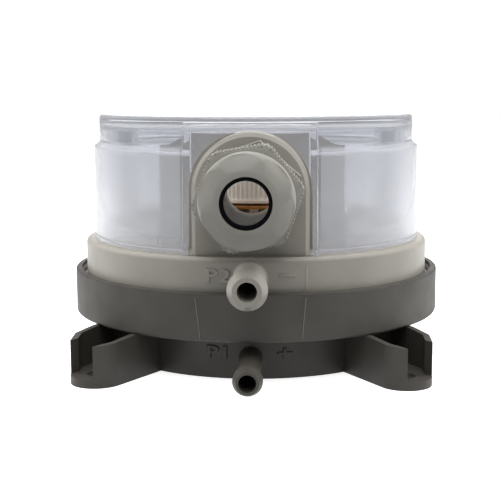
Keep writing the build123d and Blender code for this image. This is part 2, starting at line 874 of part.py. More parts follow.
# Gland nut: ribbed hexagon that runs into a dome with a round mouth
dome_mid_y = nut_front_y + nut_dome_length * nut_bulge_share
dome_mid_r = nut_lip_r + (nut_dome_r - nut_lip_r) * nut_bulge_height
with BuildPart() as gland_nut:
    with BuildSketch(front_plane(nut_back_y, gland_z)):
        RegularPolygon(nut_across / 2, 6, major_radius=False, rotation=nut_angle)
    extrude(amount=nut_back_y - nut_dome_y)
    with BuildSketch(Plane.YZ):
        with BuildLine():
            Polyline(
                (nut_back_y, gland_z),
                (nut_back_y, gland_z + nut_crown_r - nut_corner),
                (nut_back_y - nut_corner, gland_z + nut_crown_r),
                (nut_dome_y + 2 * nut_corner, gland_z + nut_crown_r),
                (nut_dome_y, gland_z + nut_dome_r),
                (nut_dome_y, gland_z),
                (nut_back_y, gland_z),
            )
        make_face()
    revolve(axis=Axis((0, 0, gland_z), (0, 1, 0)), mode=Mode.INTERSECT)
    with BuildSketch(Plane.YZ):
        with BuildLine():
            Line((nut_dome_y, gland_z), (nut_dome_y, gland_z + nut_dome_r))
            ThreePointArc(
                (nut_dome_y, gland_z + nut_dome_r),
                (dome_mid_y, gland_z + dome_mid_r),
                (nut_front_y + nut_corner / 2, gland_z + nut_lip_r),
            )
            Polyline(
                (nut_front_y + nut_corner / 2, gland_z + nut_lip_r),
                (nut_front_y, gland_z + nut_mouth_r),
                (nut_front_y, gland_z),
                (nut_dome_y, gland_z),
            )
        make_face()
    revolve(axis=Axis((0, 0, gland_z), (0, 1, 0)))
    with BuildSketch(Plane.YZ):
        with BuildLine():
            Polyline(
                (nut_back_y, gland_z),
                (nut_back_y, gland_z + nut_bore_r),
                (claw_end_y + nut_mouth_length, gland_z + nut_bore_r),
                (claw_end_y - part_gap, gland_z + claw_r),
                (nut_front_y + nut_mouth_length, gland_z + nut_mouth_r),
                (nut_front_y, gland_z + nut_mouth_r),
                (nut_front_y, gland_z),
                (nut_back_y, gland_z),
            )
        make_face()
    revolve(axis=Axis((0, 0, gland_z), (0, 1, 0)), mode=Mode.SUBTRACT)
gland_nut.part.label = "gland_nut"

# Gland seal: rubber sleeve inside the claws, with its nose in the nut's mouth
with BuildPart() as gland_seal:
    with BuildSketch(Plane.YZ):
        with BuildLine():
            Polyline(
                (seal_back_y, gland_z + seal_bore_r),
                (seal_back_y, gland_z + seal_r),
                (seal_front_y + seal_nose_length + seal_taper, gland_z + seal_r),
                (seal_front_y + seal_nose_length, gland_z + seal_nose_r),
                (seal_front_y, gland_z + seal_nose_r),
                (seal_front_y, gland_z + seal_bore_r),
                (seal_back_y, gland_z + seal_bore_r),
            )
        make_face()
    revolve(axis=Axis((0, 0, gland_z), (0, 1, 0)))
gland_seal.part.label = "gland_seal"

# Bridge over the floor that carries the knob, the rocker's pivot and the spring
with BuildPart() as knob_bridge:
    with BuildSketch(Plane.XY.offset(leg_top_z)):
        with Locations((0, (bridge_front_y + bridge_back_y) / 2)):
            RectangleRounded(2 * bridge_half, bridge_back_y - bridge_front_y, bridge_round)
    extrude(amount=bridge_plate)
    leg_x = bridge_half - bridge_leg / 2
    leg_y = bridge_front_y + bridge_leg_depth / 2
    with BuildSketch(Plane.XY.offset(seat_z)):
        with Locations((-leg_x, leg_y), (leg_x, leg_y)):
            Rectangle(bridge_leg, bridge_leg_depth)
        with Locations((0, bridge_back_y - bridge_back_wall / 2)):
            Rectangle(2 * bridge_half, bridge_back_wall)
    extrude(amount=leg_top_z - seat_z)
    with BuildSketch(Plane.XY.offset(seat_z)):
        with Locations((0, bridge_back_y + bridge_foot_length / 2)):
            Rectangle(2 * bridge_half, bridge_foot_length)
    extrude(amount=bridge_foot_height)
    with BuildSketch(Plane.XY.offset(leg_top_z)):
        Circle(tube_r)
    extrude(amount=tube_top_z - leg_top_z)
    with BuildSketch(Plane.XY.offset(leg_top_z)):
        Circle(tube_bore_r)
        Rectangle(2 * (tube_bore_r + key_depth + part_gap), key_width + 2 * part_gap)
    extrude(amount=tube_top_z - leg_top_z, mode=Mode.SUBTRACT)
    with BuildSketch(Plane.YZ):
        with Locations((pivot_y, pivot_z)):
            Circle(pivot_r + running_gap)
    extrude(amount=bridge_half, both=True, mode=Mode.SUBTRACT)
    with BuildSketch(Plane.XY.offset(seat_z)):
        with Locations((-bridge_screw_x, bridge_screw_y), (bridge_screw_x, bridge_screw_y)):
            Circle(bridge_screw_r + running_gap)
    extrude(amount=bridge_foot_height, mode=Mode.SUBTRACT)
knob_bridge.part.label = "knob_bridge"

# Two screws that hold the bridge to the floor
with BuildPart() as bridge_screws:
    for screw_x in (-bridge_screw_x, bridge_screw_x):
        add(
            pan_screw(
                screw_x,
                bridge_screw_y,
                seat_z + bridge_foot_height,
                bridge_screw_length,
                bridge_screw_r,
                bridge_screw_head_r,
                bridge_screw_head,
            )
        )
bridge_screws.part.label = "bridge_screws"

# Rocker: spring cup over the push rod and a nib under the contact blade
with BuildPart() as rocker:
    with BuildSketch(Plane.YZ):
        with BuildLine():
            Polyline(
                (rocker_back_y, rocker_z),
                (rocker_back_y, rocker_top_z),
                (rocker_tip_y, rocker_top_z),
                (rocker_tip_y, arm_z),
                (rocker_waist_y, arm_z),
                (rocker_waist_y + arm_z - rocker_z, rocker_z),
                (rocker_back_y, rocker_z),
            )
        make_face()
    extrude(amount=rocker_half, both=True)
    with BuildSketch(Plane.YZ):
        with Locations((rocker_tip_y + nib_width / 2, (arm_z + nib_z) / 2)):
            Rectangle(nib_width, nib_z - arm_z)
    extrude(amount=nib_half, both=True)
    with BuildSketch(Plane.YZ):
        with Locations((pivot_y, pivot_z)):
            Circle(rocker_hub_r)
    extrude(amount=hub_half, both=True)
    with BuildSketch(Plane.XY.offset(arm_z)):
        Circle(rocker_cup_r)
    extrude(amount=rocker_arm)
    with BuildSketch(Plane.XY.offset(rocker_top_z)):
        Circle(spigot_r)
    extrude(amount=spigot_height)
    with BuildSketch(Plane.YZ):
        with Locations((pivot_y, pivot_z)):
            Circle(pivot_r + running_gap)
    extrude(amount=hub_half, both=True, mode=Mode.SUBTRACT)
rocker.part.label = "rocker"

# Pivot pin of the rocker
with BuildPart() as rocker_pin:
    with BuildSketch(Plane.YZ):
        with Locations((pivot_y, pivot_z)):
            Circle(pivot_r)
    extrude(amount=bridge_half, both=True)
    chamfer(rocker_pin.edges().filter_by(GeomType.CIRCLE), pivot_r * 0.25)
rocker_pin.part.label = "rocker_pin"

# Spring seat: keyed disc on the knob's threaded stem
with BuildPart() as spring_seat:
    with BuildSketch(Plane.XY.offset(spring_seat_z)):
        Circle(spring_seat_r)
        Rectangle(2 * (tube_bore_r + key_depth), key_width)
    extrude(amount=spring_seat_height)
    with BuildSketch(Plane.XY.offset(spring_seat_z - spigot_height)):
        Circle(spigot_r)
    extrude(amount=spigot_height)
    with BuildSketch(Plane.XY.offset(spring_seat_z - spigot_height)):
        Circle(knob_stem_r + running_gap)
    extrude(amount=spring_seat_height + spigot_height, mode=Mode.SUBTRACT)
spring_seat.part.label = "spring_seat"

# Range spring between the rocker and the spring seat
spring_low_z = rocker_top_z + spring_wire_r
spring_high_z = spring_seat_z - spring_wire_r
spring_pitch = (spring_high_z - spring_low_z) / spring_turns
with BuildPart() as range_spring:
    with BuildLine(Plane.XY.offset(spring_low_z)) as coil:
        Helix(spring_pitch, spring_high_z - spring_low_z, spring_mean_r)
    with BuildSketch(Plane(origin=coil.line @ 0, z_dir=coil.line % 0)):
        Circle(spring_wire_r)
    sweep(path=coil.line, is_frenet=True)
range_spring.part.label = "range_spring"

# Adjusting knob: ribbed cup with a hub on the bridge's tube and a stem
rib_step = 2 * pi / knob_rib_count
with BuildPart() as adjusting_knob:
    with BuildSketch(Plane.XY.offset(knob_bottom_z)):
        with BuildLine():
            rib_points = []
            for rib in range(knob_rib_count):
                crest = rib * rib_step
                root = crest + rib_step / 2
                root_r = knob_r - knob_rib_depth
                rib_points.append((knob_r * cos(crest), knob_r * sin(crest)))
                rib_points.append((root_r * cos(root), root_r * sin(root)))
            Polyline(*rib_points, close=True)
        make_face()
    extrude(amount=knob_top_z - knob_bottom_z)
    with BuildSketch(Plane.XZ):
        with BuildLine():
            Polyline(
                (0, knob_bottom_z),
                (knob_r, knob_bottom_z),
                (knob_r, knob_top_z - knob_round),
                (knob_r - knob_round, knob_top_z),
                (0, knob_top_z),
                (0, knob_bottom_z),
            )
        make_face()
    revolve(axis=Axis.Z, mode=Mode.INTERSECT)
    with BuildSketch(Plane.XY.offset(knob_bottom_z)):
        Circle(knob_r + knob_flange_step)
    extrude(amount=knob_flange_height)
    with BuildSketch(Plane.XY.offset(knob_bottom_z)):
        Circle(knob_r - knob_wall)
    extrude(amount=knob_ceiling_z - knob_bottom_z, mode=Mode.SUBTRACT)
    with BuildSketch(Plane.XY.offset(knob_hub_z)):
        Circle(knob_hub_bore_r + knob_hub_wall)
        Circle(knob_hub_bore_r, mode=Mode.SUBTRACT)
    extrude(amount=knob_ceiling_z - knob_hub_z)
    with BuildSketch(Plane.XY.offset(knob_stem_z)):
        Circle(knob_stem_r)
    extrude(amount=knob_ceiling_z - knob_stem_z)
    with BuildSketch(Plane.XY.offset(knob_top_z)):
        Rectangle(knob_slot_length, knob_slot_width)
    extrude(amount=-recess_depth, mode=Mode.SUBTRACT)
adjusting_knob.part.label = "adjusting_knob"

# Contact carrier: moulded base with a low deck and two raised arms
with BuildPart() as contact_carrier:
    with BuildSketch(Plane.XY.offset(seat_z)):
        with Locations((0, (carrier_front_y + carrier_back_y) / 2)):
            Rectangle(2 * carrier_half, carrier_back_y - carrier_front_y)
    extrude(amount=carrier_deck_z - seat_z)
    arm_x = carrier_half - carrier_arm / 2
    arm_length = carrier_arm_back_y - carrier_front_y
    with BuildSketch(Plane.XY.offset(seat_z)):
        with Locations((-arm_x, carrier_front_y + arm_length / 2)):
            Rectangle(carrier_arm, arm_length)
        with Locations((arm_x, carrier_front_y + arm_length / 2)):
            Rectangle(carrier_arm, arm_length)
    extrude(amount=carrier_arm_z - seat_z)
    with BuildSketch(Plane.XY.offset(carrier_arm_z)):
        with Locations(
            (terminal_x, front_terminal_y),
            (-terminal_x, front_terminal_y),
            (-terminal_x, back_terminal_y),
        ):
            Circle(terminal_screw_r + running_gap)
    extrude(amount=-terminal_screw_length, mode=Mode.SUBTRACT)
contact_carrier.part.label = "contact_carrier"


def terminal_plate(x, y):
    """Return one square terminal plate with its screw hole."""
    with BuildPart() as made:
        with BuildSketch(Plane.XY.offset(carrier_arm_z)):
            with Locations((x, y)):
                Rectangle(strip_width, strip_width)
                Circle(terminal_screw_r + running_gap, mode=Mode.SUBTRACT)
        extrude(amount=strip_thickness)
    return made.part


def block(x0, x1, y0, y1, z0, z1):
    """Return a rectangular block between two opposite corners."""
    with BuildPart() as made:
        with BuildSketch(Plane.XY.offset(z0)):
            with Locations(((x0 + x1) / 2, (y0 + y1) / 2)):
                Rectangle(abs(x1 - x0), abs(y1 - y0))
        extrude(amount=z1 - z0)
    return made.part


# Common terminal: plate and the seat that the blade's fixed end rests on
with BuildPart() as com_terminal:
    add(terminal_plate(terminal_x, front_terminal_y))
    add(
        block(
            arm_inner_x,
            terminal_x + plate_half,
            blade_front_y,
            front_terminal_y - plate_half,
            carrier_arm_z,
            strip_top_z,
        )
    )
com_terminal.part.label = "com_terminal"

# Normally closed contact: its tongue lies over the blade's free end
nc_outer_x = -terminal_x - plate_half
nc_riser_x = nc_outer_x + leg_width
with BuildPart() as nc_contact:
    add(terminal_plate(-terminal_x, front_terminal_y))
    add(
        block(
            nc_outer_x,
            nc_riser_x,
            tongue_front_y,
            front_terminal_y - plate_half,
            carrier_arm_z,
            strip_top_z,
        )
    )
    add(
        block(
            nc_riser_x - strip_thickness,
            nc_riser_x,
            tongue_front_y,
            tongue_back_y,
            carrier_arm_z,
            nc_tongue_z + strip_thickness,
        )
    )
    add(
        block(
            nc_riser_x - strip_thickness,
            tongue_end_x,
            tongue_front_y,
            tongue_back_y,
            nc_tongue_z,
            nc_tongue_z + strip_thickness,
        )
    )
    with BuildSketch(Plane.XY.offset(nc_tongue_z)):
        with Locations((button_x, (tongue_front_y + tongue_back_y) / 2)):
            Circle(button_r)
    extrude(amount=-button_height)
nc_contact.part.label = "nc_contact"

# Normally open contact: its tongue lies under the blade's free end
no_leg_x = part_gap - terminal_x + plate_half
no_drop_x = running_gap - arm_inner_x
with BuildPart() as no_contact:
    add(terminal_plate(-terminal_x, back_terminal_y))
    add(
        block(
            no_leg_x - 2 * part_gap,
            no_leg_x,
            back_terminal_y - plate_half,
            back_terminal_y + plate_half,
            carrier_arm_z,
            strip_top_z,
        )
    )
    add(
        block(
            no_leg_x,
            no_leg_x + inner_leg_width,
            tongue_front_y,
            back_terminal_y + plate_half,
            carrier_arm_z,
            strip_top_z,
        )
    )
    add(
        block(
            no_leg_x,
            no_drop_x + strip_thickness,
            tongue_front_y,
            tongue_back_y,
            carrier_arm_z,
            strip_top_z,
        )
    )
    add(
        block(
            no_drop_x,
            no_drop_x + strip_thickness,
            tongue_front_y,
            tongue_back_y,
            no_tongue_z,
            strip_top_z,
        )
    )
    add(
        block(
            no_drop_x,
            tongue_end_x,
            tongue_front_y,
            tongue_back_y,
            no_tongue_z,
            no_tongue_z + strip_thickness,
        )
    )
    with BuildSketch(Plane.XY.offset(no_button_z)):
        with Locations((button_x, (tongue_front_y + tongue_back_y) / 2)):
            Circle(button_r)
    extrude(amount=-button_height)
no_contact.part.label = "no_contact"

# Contact blade: copper strip across the front, fixed at +X and free at -X
with BuildPart() as contact_blade:
    with BuildSketch(Plane.XY.offset(blade_z)):
        with Locations(((blade_free_x + blade_end_x) / 2, (blade_front_y + blade_back_y) / 2)):
            Rectangle(blade_end_x - blade_free_x, blade_width)
    extrude(amount=blade_thickness)
    fillet(contact_blade.edges().filter_by(Axis.Z), blade_round)
contact_blade.part.label = "contact_blade"

# One clamping screw in each terminal
terminal_screws = {
    "com_screw": (terminal_x, front_terminal_y),
    "nc_screw": (-terminal_x, front_terminal_y),
    "no_screw": (-terminal_x, back_terminal_y),
}
for screw_name, (screw_x, screw_y) in terminal_screws.items():
    made_screw = pan_screw(
        screw_x,
        screw_y,
        strip_top_z,
        terminal_screw_length,
        terminal_screw_r,
        terminal_head_r,
        terminal_head,
    )
    made_screw.label = screw_name
    export_step(made_screw, f"parts/{screw_name}.step")

# One captive screw in each well of the cover
cover_screws = {"cover_screw_left": -cover_screw_x, "cover_screw_right": cover_screw_x}
for screw_name, screw_x in cover_screws.items():
    made_screw = pan_screw(
        screw_x, 0.0, well_z, cover_screw_length, cover_screw_r, cover_head_r, cover_head
    )
    made_screw.label = screw_name
    export_step(made_screw, f"parts/{screw_name}.step")

export_step(lower_housing.part, "parts/lower_housing.step")
export_step(diaphragm.part, "parts/diaphragm.step")
export_step(lower_plate.part, "parts/lower_plate.step")
export_step(upper_plate.part, "parts/upper_plate.step")
export_step(push_rod.part, "parts/push_rod.step")
export_step(upper_housing.part, "parts/upper_housing.step")
export_step(cover_gasket.part, "parts/cover_gasket.step")
export_step(clear_cover.part, "parts/clear_cover.step")
export_step(gland_body.part, "parts/gland_body.step")
export_step(gland_nut.part, "parts/gland_nut.step")
export_step(gland_seal.part, "parts/gland_seal.step")
export_step(knob_bridge.part, "parts/knob_bridge.step")
export_step(bridge_screws.part, "parts/bridge_screws.step")
export_step(rocker.part, "parts/rocker.step")
export_step(rocker_pin.part, "parts/rocker_pin.step")
export_step(spring_seat.part, "parts/spring_seat.step")
export_step(range_spring.part, "parts/range_spring.step")
export_step(adjusting_knob.part, "parts/adjusting_knob.step")
export_step(contact_carrier.part, "parts/contact_carrier.step")
export_step(com_terminal.part, "parts/com_terminal.step")
export_step(nc_contact.part, "parts/nc_contact.step")
export_step(no_contact.part, "parts/no_contact.step")
export_step(contact_blade.part, "parts/contact_blade.step")
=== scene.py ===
"""Looks of a differential pressure switch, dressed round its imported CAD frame.

Metres, +Z up. The origin is on the housing axis, in the plane that the switch stands
on. The cable gland and both hose nipples point along -Y.
"""

import json
import logging
from collections.abc import Callable, Sequence
from dataclasses import dataclass, field
from enum import Enum
from math import cos, pi, radians, sin, sqrt

import bmesh
import bpy
from mathutils import Matrix, Vector

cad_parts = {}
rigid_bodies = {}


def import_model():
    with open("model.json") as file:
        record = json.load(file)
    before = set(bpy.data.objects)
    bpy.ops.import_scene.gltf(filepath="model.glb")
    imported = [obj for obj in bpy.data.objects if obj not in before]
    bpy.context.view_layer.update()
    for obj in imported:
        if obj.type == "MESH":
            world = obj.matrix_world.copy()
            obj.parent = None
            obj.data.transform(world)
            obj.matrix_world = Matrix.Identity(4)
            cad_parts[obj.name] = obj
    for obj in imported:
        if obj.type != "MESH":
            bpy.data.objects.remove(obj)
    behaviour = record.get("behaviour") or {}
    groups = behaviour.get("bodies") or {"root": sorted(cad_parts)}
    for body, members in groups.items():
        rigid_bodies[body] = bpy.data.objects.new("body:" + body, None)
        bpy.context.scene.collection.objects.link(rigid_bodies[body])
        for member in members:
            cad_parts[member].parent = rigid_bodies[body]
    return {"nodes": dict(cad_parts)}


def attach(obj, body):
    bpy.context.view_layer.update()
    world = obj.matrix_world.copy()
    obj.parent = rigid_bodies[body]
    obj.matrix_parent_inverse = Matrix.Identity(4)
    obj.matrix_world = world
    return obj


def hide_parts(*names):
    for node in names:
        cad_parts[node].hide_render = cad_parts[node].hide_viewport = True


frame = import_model()

MM = 0.001
IMAGE_WIDTH = 500
MERGE_DISTANCE = 0.002 * MM
WHITE = (1.0, 1.0, 1.0, 1.0)
# Places of a Mix node's colour sockets, whose names its other sockets share.
COLOUR_A = 6
COLOUR_B = 7
COLOUR_OUT = 2

log = logging.getLogger("pressure_switch")

Pair = tuple[float, float]
Point = tuple[float, float, float]


class Axis(Enum):
    """The line that a turned piece is turned about."""

    UP = "Z"
    FORWARD = "-Y"


class Join(Enum):
    """How one solid is put together with another."""

    ADD = "UNION"
    CUT = "DIFFERENCE"
    KEEP = "INTERSECT"


def linear(hex_colour: str) -> tuple[float, float, float, float]:
    """Turn an sRGB colour to linear light.

    Args:
        hex_colour: six hex digits, red first.

    Returns:
        Red, green, blue and an alpha of 1.
    """
    channels = [int(hex_colour[start : start + 2], 16) / 255 for start in (0, 2, 4)]
    red, green, blue = (
        value / 12.92 if value <= 0.04045 else ((value + 0.055) / 1.055) ** 2.4
        for value in channels
    )
    return red, green, blue, 1.0


def add_node(
    tree: bpy.types.NodeTree,
    kind: str,
    settings: dict[str, object] | None = None,
    values: dict[str | int, object] | None = None,
    links: dict[str | int, bpy.types.NodeSocket] | None = None,
) -> bpy.types.Node:
    """Add one shader node with its settings, plain values and incoming links.

    Args:
        tree: the node tree that takes the node.
        kind: the node's type name.
        settings: properties of the node itself.
        values: input sockets set to a plain value, by name or place.
        links: input sockets fed by another node's output, by name or place.

    Returns:
        The new node.
    """
    node = tree.nodes.new(kind)
    for name, value in (settings or {}).items():
        setattr(node, name, value)
    for name, value in (values or {}).items():
        node.inputs[name].default_value = value
    for name, socket in (links or {}).items():
        tree.links.new(socket, node.inputs[name])
    return node


def per_metre(size_mm: float) -> float:
    """Return the texture scale whose features are about size_mm across."""
    return 1.0 / (size_mm * MM)


@dataclass(frozen=True)
class Finish:
    """A surface finish that builds its own material."""

    name: str

    def shade(self, tree: bpy.types.NodeTree) -> bpy.types.NodeSocket:
        """Build the finish's shader in a tree and return its output."""
        raise NotImplementedError

    def material(self) -> bpy.types.Material:
        """Return the finish's material, built on its first use."""
        known = bpy.data.materials.get(self.name)
        if known is not None:
            return known
        made = bpy.data.materials.new(self.name)
        made.use_nodes = True
        made.node_tree.nodes.clear()
        surface = self.shade(made.node_tree)
        add_node(made.node_tree, "ShaderNodeOutputMaterial", links={"Surface": surface})
        return made


@dataclass(frozen=True)
class MouldedPlastic(Finish):
    """Injection-moulded plastic: soft sheen, spark-eroded grain and faint flow clouds."""

    colour: str = "888888"
    cloud_colour: str = "808080"
    roughness: float = 0.45
    roughness_swing: float = 0.06
    ior: float = 1.53
    # Spark-eroded grain is really 0.1 to 0.2 mm wide, and it is drawn at that size.
    grain_mm: float = 0.12
    grain_height_mm: float = 0.004
    grain_strength: float = 0.6
    cloud_mm: float = 9.0
    cloud_span: Pair = (0.35, 0.65)
    gloss_span: Pair = (0.3, 0.7)
    scatter: float = 0.0
    scatter_tint: Point = (1.0, 0.9, 0.8)
    scatter_depth: float = 0.6 * MM
    specular: float = 0.5

    def shade(self, tree: bpy.types.NodeTree) -> bpy.types.NodeSocket:
        """Mix two near tones over broad clouds, with grain in the bump and the gloss."""
        place = add_node(tree, "ShaderNodeTexCoord").outputs["Object"]
        clouds = add_node(
            tree,
            "ShaderNodeTexNoise",
            values={"Scale": per_metre(self.cloud_mm), "Detail": 3.0, "Roughness": 0.55},
            links={"Vector": place},
        )
        grain = add_node(
            tree,
            "ShaderNodeTexNoise",
            values={"Scale": per_metre(self.grain_mm), "Detail": 2.0, "Roughness": 0.6},
            links={"Vector": place},
        )
        cloud_share = add_node(
            tree,
            "ShaderNodeMapRange",
            values={"From Min": self.cloud_span[0], "From Max": self.cloud_span[1]},
            links={"Value": clouds.outputs["Fac"]},
        )
        tone = add_node(
            tree,
            "ShaderNodeMix",
            settings={"data_type": "RGBA"},
            values={COLOUR_A: linear(self.colour), COLOUR_B: linear(self.cloud_colour)},
            links={"Factor": cloud_share.outputs["Result"]},
        )
        gloss = add_node(
            tree,
            "ShaderNodeMapRange",
            values={
                "From Min": self.gloss_span[0],
                "From Max": self.gloss_span[1],
                "To Min": self.roughness - self.roughness_swing,
                "To Max": self.roughness + self.roughness_swing,
            },
            links={"Value": clouds.outputs["Fac"]},
        )
        bump = add_node(
            tree,
            "ShaderNodeBump",
            values={"Strength": self.grain_strength, "Distance": self.grain_height_mm * MM},
            links={"Height": grain.outputs["Fac"]},
        )
        shader = add_node(
            tree,
            "ShaderNodeBsdfPrincipled",
            values={
                "IOR": self.ior,
                "Specular IOR Level": self.specular,
                "Subsurface Weight": self.scatter,
                "Subsurface Radius": self.scatter_tint,
                "Subsurface Scale": self.scatter_depth,
            },
            links={
                "Base Color": tone.outputs[COLOUR_OUT],
                "Roughness": gloss.outputs["Result"],
                "Normal": bump.outputs["Normal"],
            },
        )
        return shader.outputs["BSDF"]


@dataclass(frozen=True)
class ClearPlastic(Finish):
    """Clear polycarbonate: polished box and top, with a finely frosted side wall.

    Clarity is the share of light that goes through, and the rest is haze. The frost
    grows from nothing at frost_low to its full at frost_full.
    """

    tint: str = "D5D7DD"
    clarity: float = 0.82
    frosted_clarity: float = 0.56
    roughness: float = 0.03
    frosted_roughness: float = 0.14
    ior: float = 1.58
    shadow_tint: str = "FDFDFE"
    frost_low: float = 22.0 * MM
    frost_full: float = 38.0 * MM
    frost_top: float = 47.9 * MM
    frost_side: float = 14.3 * MM
    frost_edge: float = 0.2 * MM

    def frost(self, tree: bpy.types.NodeTree) -> bpy.types.NodeSocket:
        """Mark the side wall: below the shoulder and beside the flat box."""
        place = add_node(tree, "ShaderNodeTexCoord").outputs["Object"]
        parts = add_node(tree, "ShaderNodeSeparateXYZ", links={"Vector": place})
        below = add_node(
            tree,
            "ShaderNodeMapRange",
            values={
                "From Min": self.frost_top - self.frost_edge,
                "From Max": self.frost_top,
                "To Min": 1.0,
                "To Max": 0.0,
            },
            links={"Value": parts.outputs["Z"]},
        )
        above = add_node(
            tree,
            "ShaderNodeMapRange",
            values={"From Min": self.frost_low, "From Max": self.frost_full},
            links={"Value": parts.outputs["Z"]},
        )
        tall = add_node(
            tree,
            "ShaderNodeMath",
            settings={"operation": "MULTIPLY"},
            links={0: below.outputs["Result"], 1: above.outputs["Result"]},
        )
        aside = add_node(
            tree,
            "ShaderNodeMath",
            settings={"operation": "ABSOLUTE"},
            links={0: parts.outputs["X"]},
        )
        beside = add_node(
            tree,
            "ShaderNodeMapRange",
            values={
                "From Min": self.frost_side,
                "From Max": self.frost_side + self.frost_edge,
            },
            links={"Value": aside.outputs["Value"]},
        )
        both = add_node(
            tree,
            "ShaderNodeMath",
            settings={"operation": "MULTIPLY"},
            links={0: tall.outputs["Value"], 1: beside.outputs["Result"]},
        )
        return both.outputs["Value"]

    def shade(self, tree: bpy.types.NodeTree) -> bpy.types.NodeSocket:
        """Use a refracting shader that lets lamplight through to what it covers."""
        frost = self.frost(tree)
        clarity = add_node(
            tree,
            "ShaderNodeMapRange",
            values={"To Min": self.clarity, "To Max": self.frosted_clarity},
            links={"Value": frost},
        )
        gloss = add_node(
            tree,
            "ShaderNodeMapRange",
            values={"To Min": self.roughness, "To Max": self.frosted_roughness},
            links={"Value": frost},
        )
        clear = add_node(
            tree,
            "ShaderNodeBsdfPrincipled",
            values={"Base Color": linear(self.tint), "IOR": self.ior},
            links={
                "Transmission Weight": clarity.outputs["Result"],
                "Roughness": gloss.outputs["Result"],
            },
        )
        passed = add_node(
            tree,
            "ShaderNodeBsdfTransparent",
            values={"Color": linear(self.shadow_tint)},
        )
        path = add_node(tree, "ShaderNodeLightPath")
        lighting = add_node(
            tree,
            "ShaderNodeMath",
            settings={"operation": "MAXIMUM"},
            links={0: path.outputs["Is Shadow Ray"], 1: path.outputs["Is Diffuse Ray"]},
        )
        both = add_node(
            tree,
            "ShaderNodeMixShader",
            links={
                "Fac": lighting.outputs["Value"],
                1: clear.outputs["BSDF"],
                2: passed.outputs["BSDF"],
            },
        )
        return both.outputs["Shader"]


@dataclass(frozen=True)
class Metal(Finish):
    """Metal with fine drawing or rolling lines and a slightly cloudy polish."""

    colour: str = "B8B8B8"
    stain: str = "A0A0A0"
    stain_mm: float = 2.5
    roughness: float = 0.3
    polished_by: float = 0.07
    dulled_by: float = 0.1
    # Real lines are about 0.02 mm apart, too fine to show, so they are drawn coarser.
    line_mm: float = 0.08
    line_stretch: Point = (1.0, 1.0, 1.0)
    line_height_mm: float = 0.002
    line_strength: float = 0.5

    def shade(self, tree: bpy.types.NodeTree) -> bpy.types.NodeSocket:
        """Stretch a fine noise along the working direction for bump and tone."""
        place = add_node(tree, "ShaderNodeTexCoord").outputs["Object"]
        along = add_node(
            tree,
            "ShaderNodeMapping",
            values={"Scale": self.line_stretch},
            links={"Vector": place},
        )
        lines = add_node(
            tree,
            "ShaderNodeTexNoise",
            values={"Scale": per_metre(self.line_mm), "Detail": 3.0},
            links={"Vector": along.outputs["Vector"]},
        )
        stains = add_node(
            tree,
            "ShaderNodeTexNoise",
            values={"Scale": per_metre(self.stain_mm), "Detail": 4.0},
            links={"Vector": place},
        )
        tone = add_node(
            tree,
            "ShaderNodeMix",
            settings={"data_type": "RGBA"},
            values={COLOUR_A: linear(self.colour), COLOUR_B: linear(self.stain)},
            links={"Factor": stains.outputs["Fac"]},
        )
        gloss = add_node(
            tree,
            "ShaderNodeMapRange",
            values={
                "To Min": self.roughness - self.polished_by,
                "To Max": self.roughness + self.dulled_by,
            },
            links={"Value": stains.outputs["Fac"]},
        )
        bump = add_node(
            tree,
            "ShaderNodeBump",
            values={"Strength": self.line_strength, "Distance": self.line_height_mm * MM},
            links={"Height": lines.outputs["Fac"]},
        )
        shader = add_node(
            tree,
            "ShaderNodeBsdfPrincipled",
            values={"Metallic": 1.0},
            links={
                "Base Color": tone.outputs[COLOUR_OUT],
                "Roughness": gloss.outputs["Result"],
                "Normal": bump.outputs["Normal"],
            },
        )
        return shader.outputs["BSDF"]


@dataclass(frozen=True)
class Ink(Finish):
    """Hot-stamped lettering: a thin dark film with slightly lighter flecks."""

    colour: str = "2A2A2C"
    fleck_colour: str = "3A3A3C"
    # Real flecks are a few hundredths of a millimetre, so these are drawn coarser.
    fleck_mm: float = 0.1
    roughness: float = 0.5
    ior: float = 1.5

    def shade(self, tree: bpy.types.NodeTree) -> bpy.types.NodeSocket:
        """Speckle a dark film with slightly lighter flecks."""
        place = add_node(tree, "ShaderNodeTexCoord").outputs["Object"]
        flecks = add_node(
            tree,
            "ShaderNodeTexNoise",
            values={"Scale": per_metre(self.fleck_mm), "Detail": 2.0},
            links={"Vector": place},
        )
        tone = add_node(
            tree,
            "ShaderNodeMix",
            settings={"data_type": "RGBA"},
            values={COLOUR_A: linear(self.colour), COLOUR_B: linear(self.fleck_colour)},
            links={"Factor": flecks.outputs["Fac"]},
        )
        shader = add_node(
            tree,
            "ShaderNodeBsdfPrincipled",
            values={"Roughness": self.roughness, "IOR": self.ior},
            links={"Base Color": tone.outputs[COLOUR_OUT]},
        )
        return shader.outputs["BSDF"]


# Glass-filled polyamide, moulded: a dull brown-grey with a coarse grain.
DARK_POLYAMIDE = MouldedPlastic(
    "glass_filled_polyamide",
    colour="46433E",
    cloud_colour="413E39",
    roughness=0.5,
    grain_mm=0.22,
    grain_height_mm=0.006,
)
# ABS, moulded: a warm light grey with a smooth, slightly waxy sheen.
GREY_ABS = MouldedPlastic(
    "moulded_abs",
    colour="A29E96",
    cloud_colour="9C9890",
    roughness=0.38,
    ior=1.52,
    grain_mm=0.15,
    grain_height_mm=0.002,
    scatter=0.05,
)
# The same polyamide made paler for the parting lines: a painted highlight where light catches the
# raised lines.
SEAM_HIGHLIGHT_POLYAMIDE = MouldedPlastic(
    "seam_highlight_polyamide", colour="7C7971", cloud_colour="75726A", roughness=0.6, grain_mm=0.2
)
# The same ABS made paler for its parting line: a painted highlight where light catches the raised
# line.
SEAM_HIGHLIGHT_ABS = MouldedPlastic(
    "seam_highlight_abs", colour="B8B4AC", cloud_colour="B1ADA5", roughness=0.55, grain_mm=0.2
)
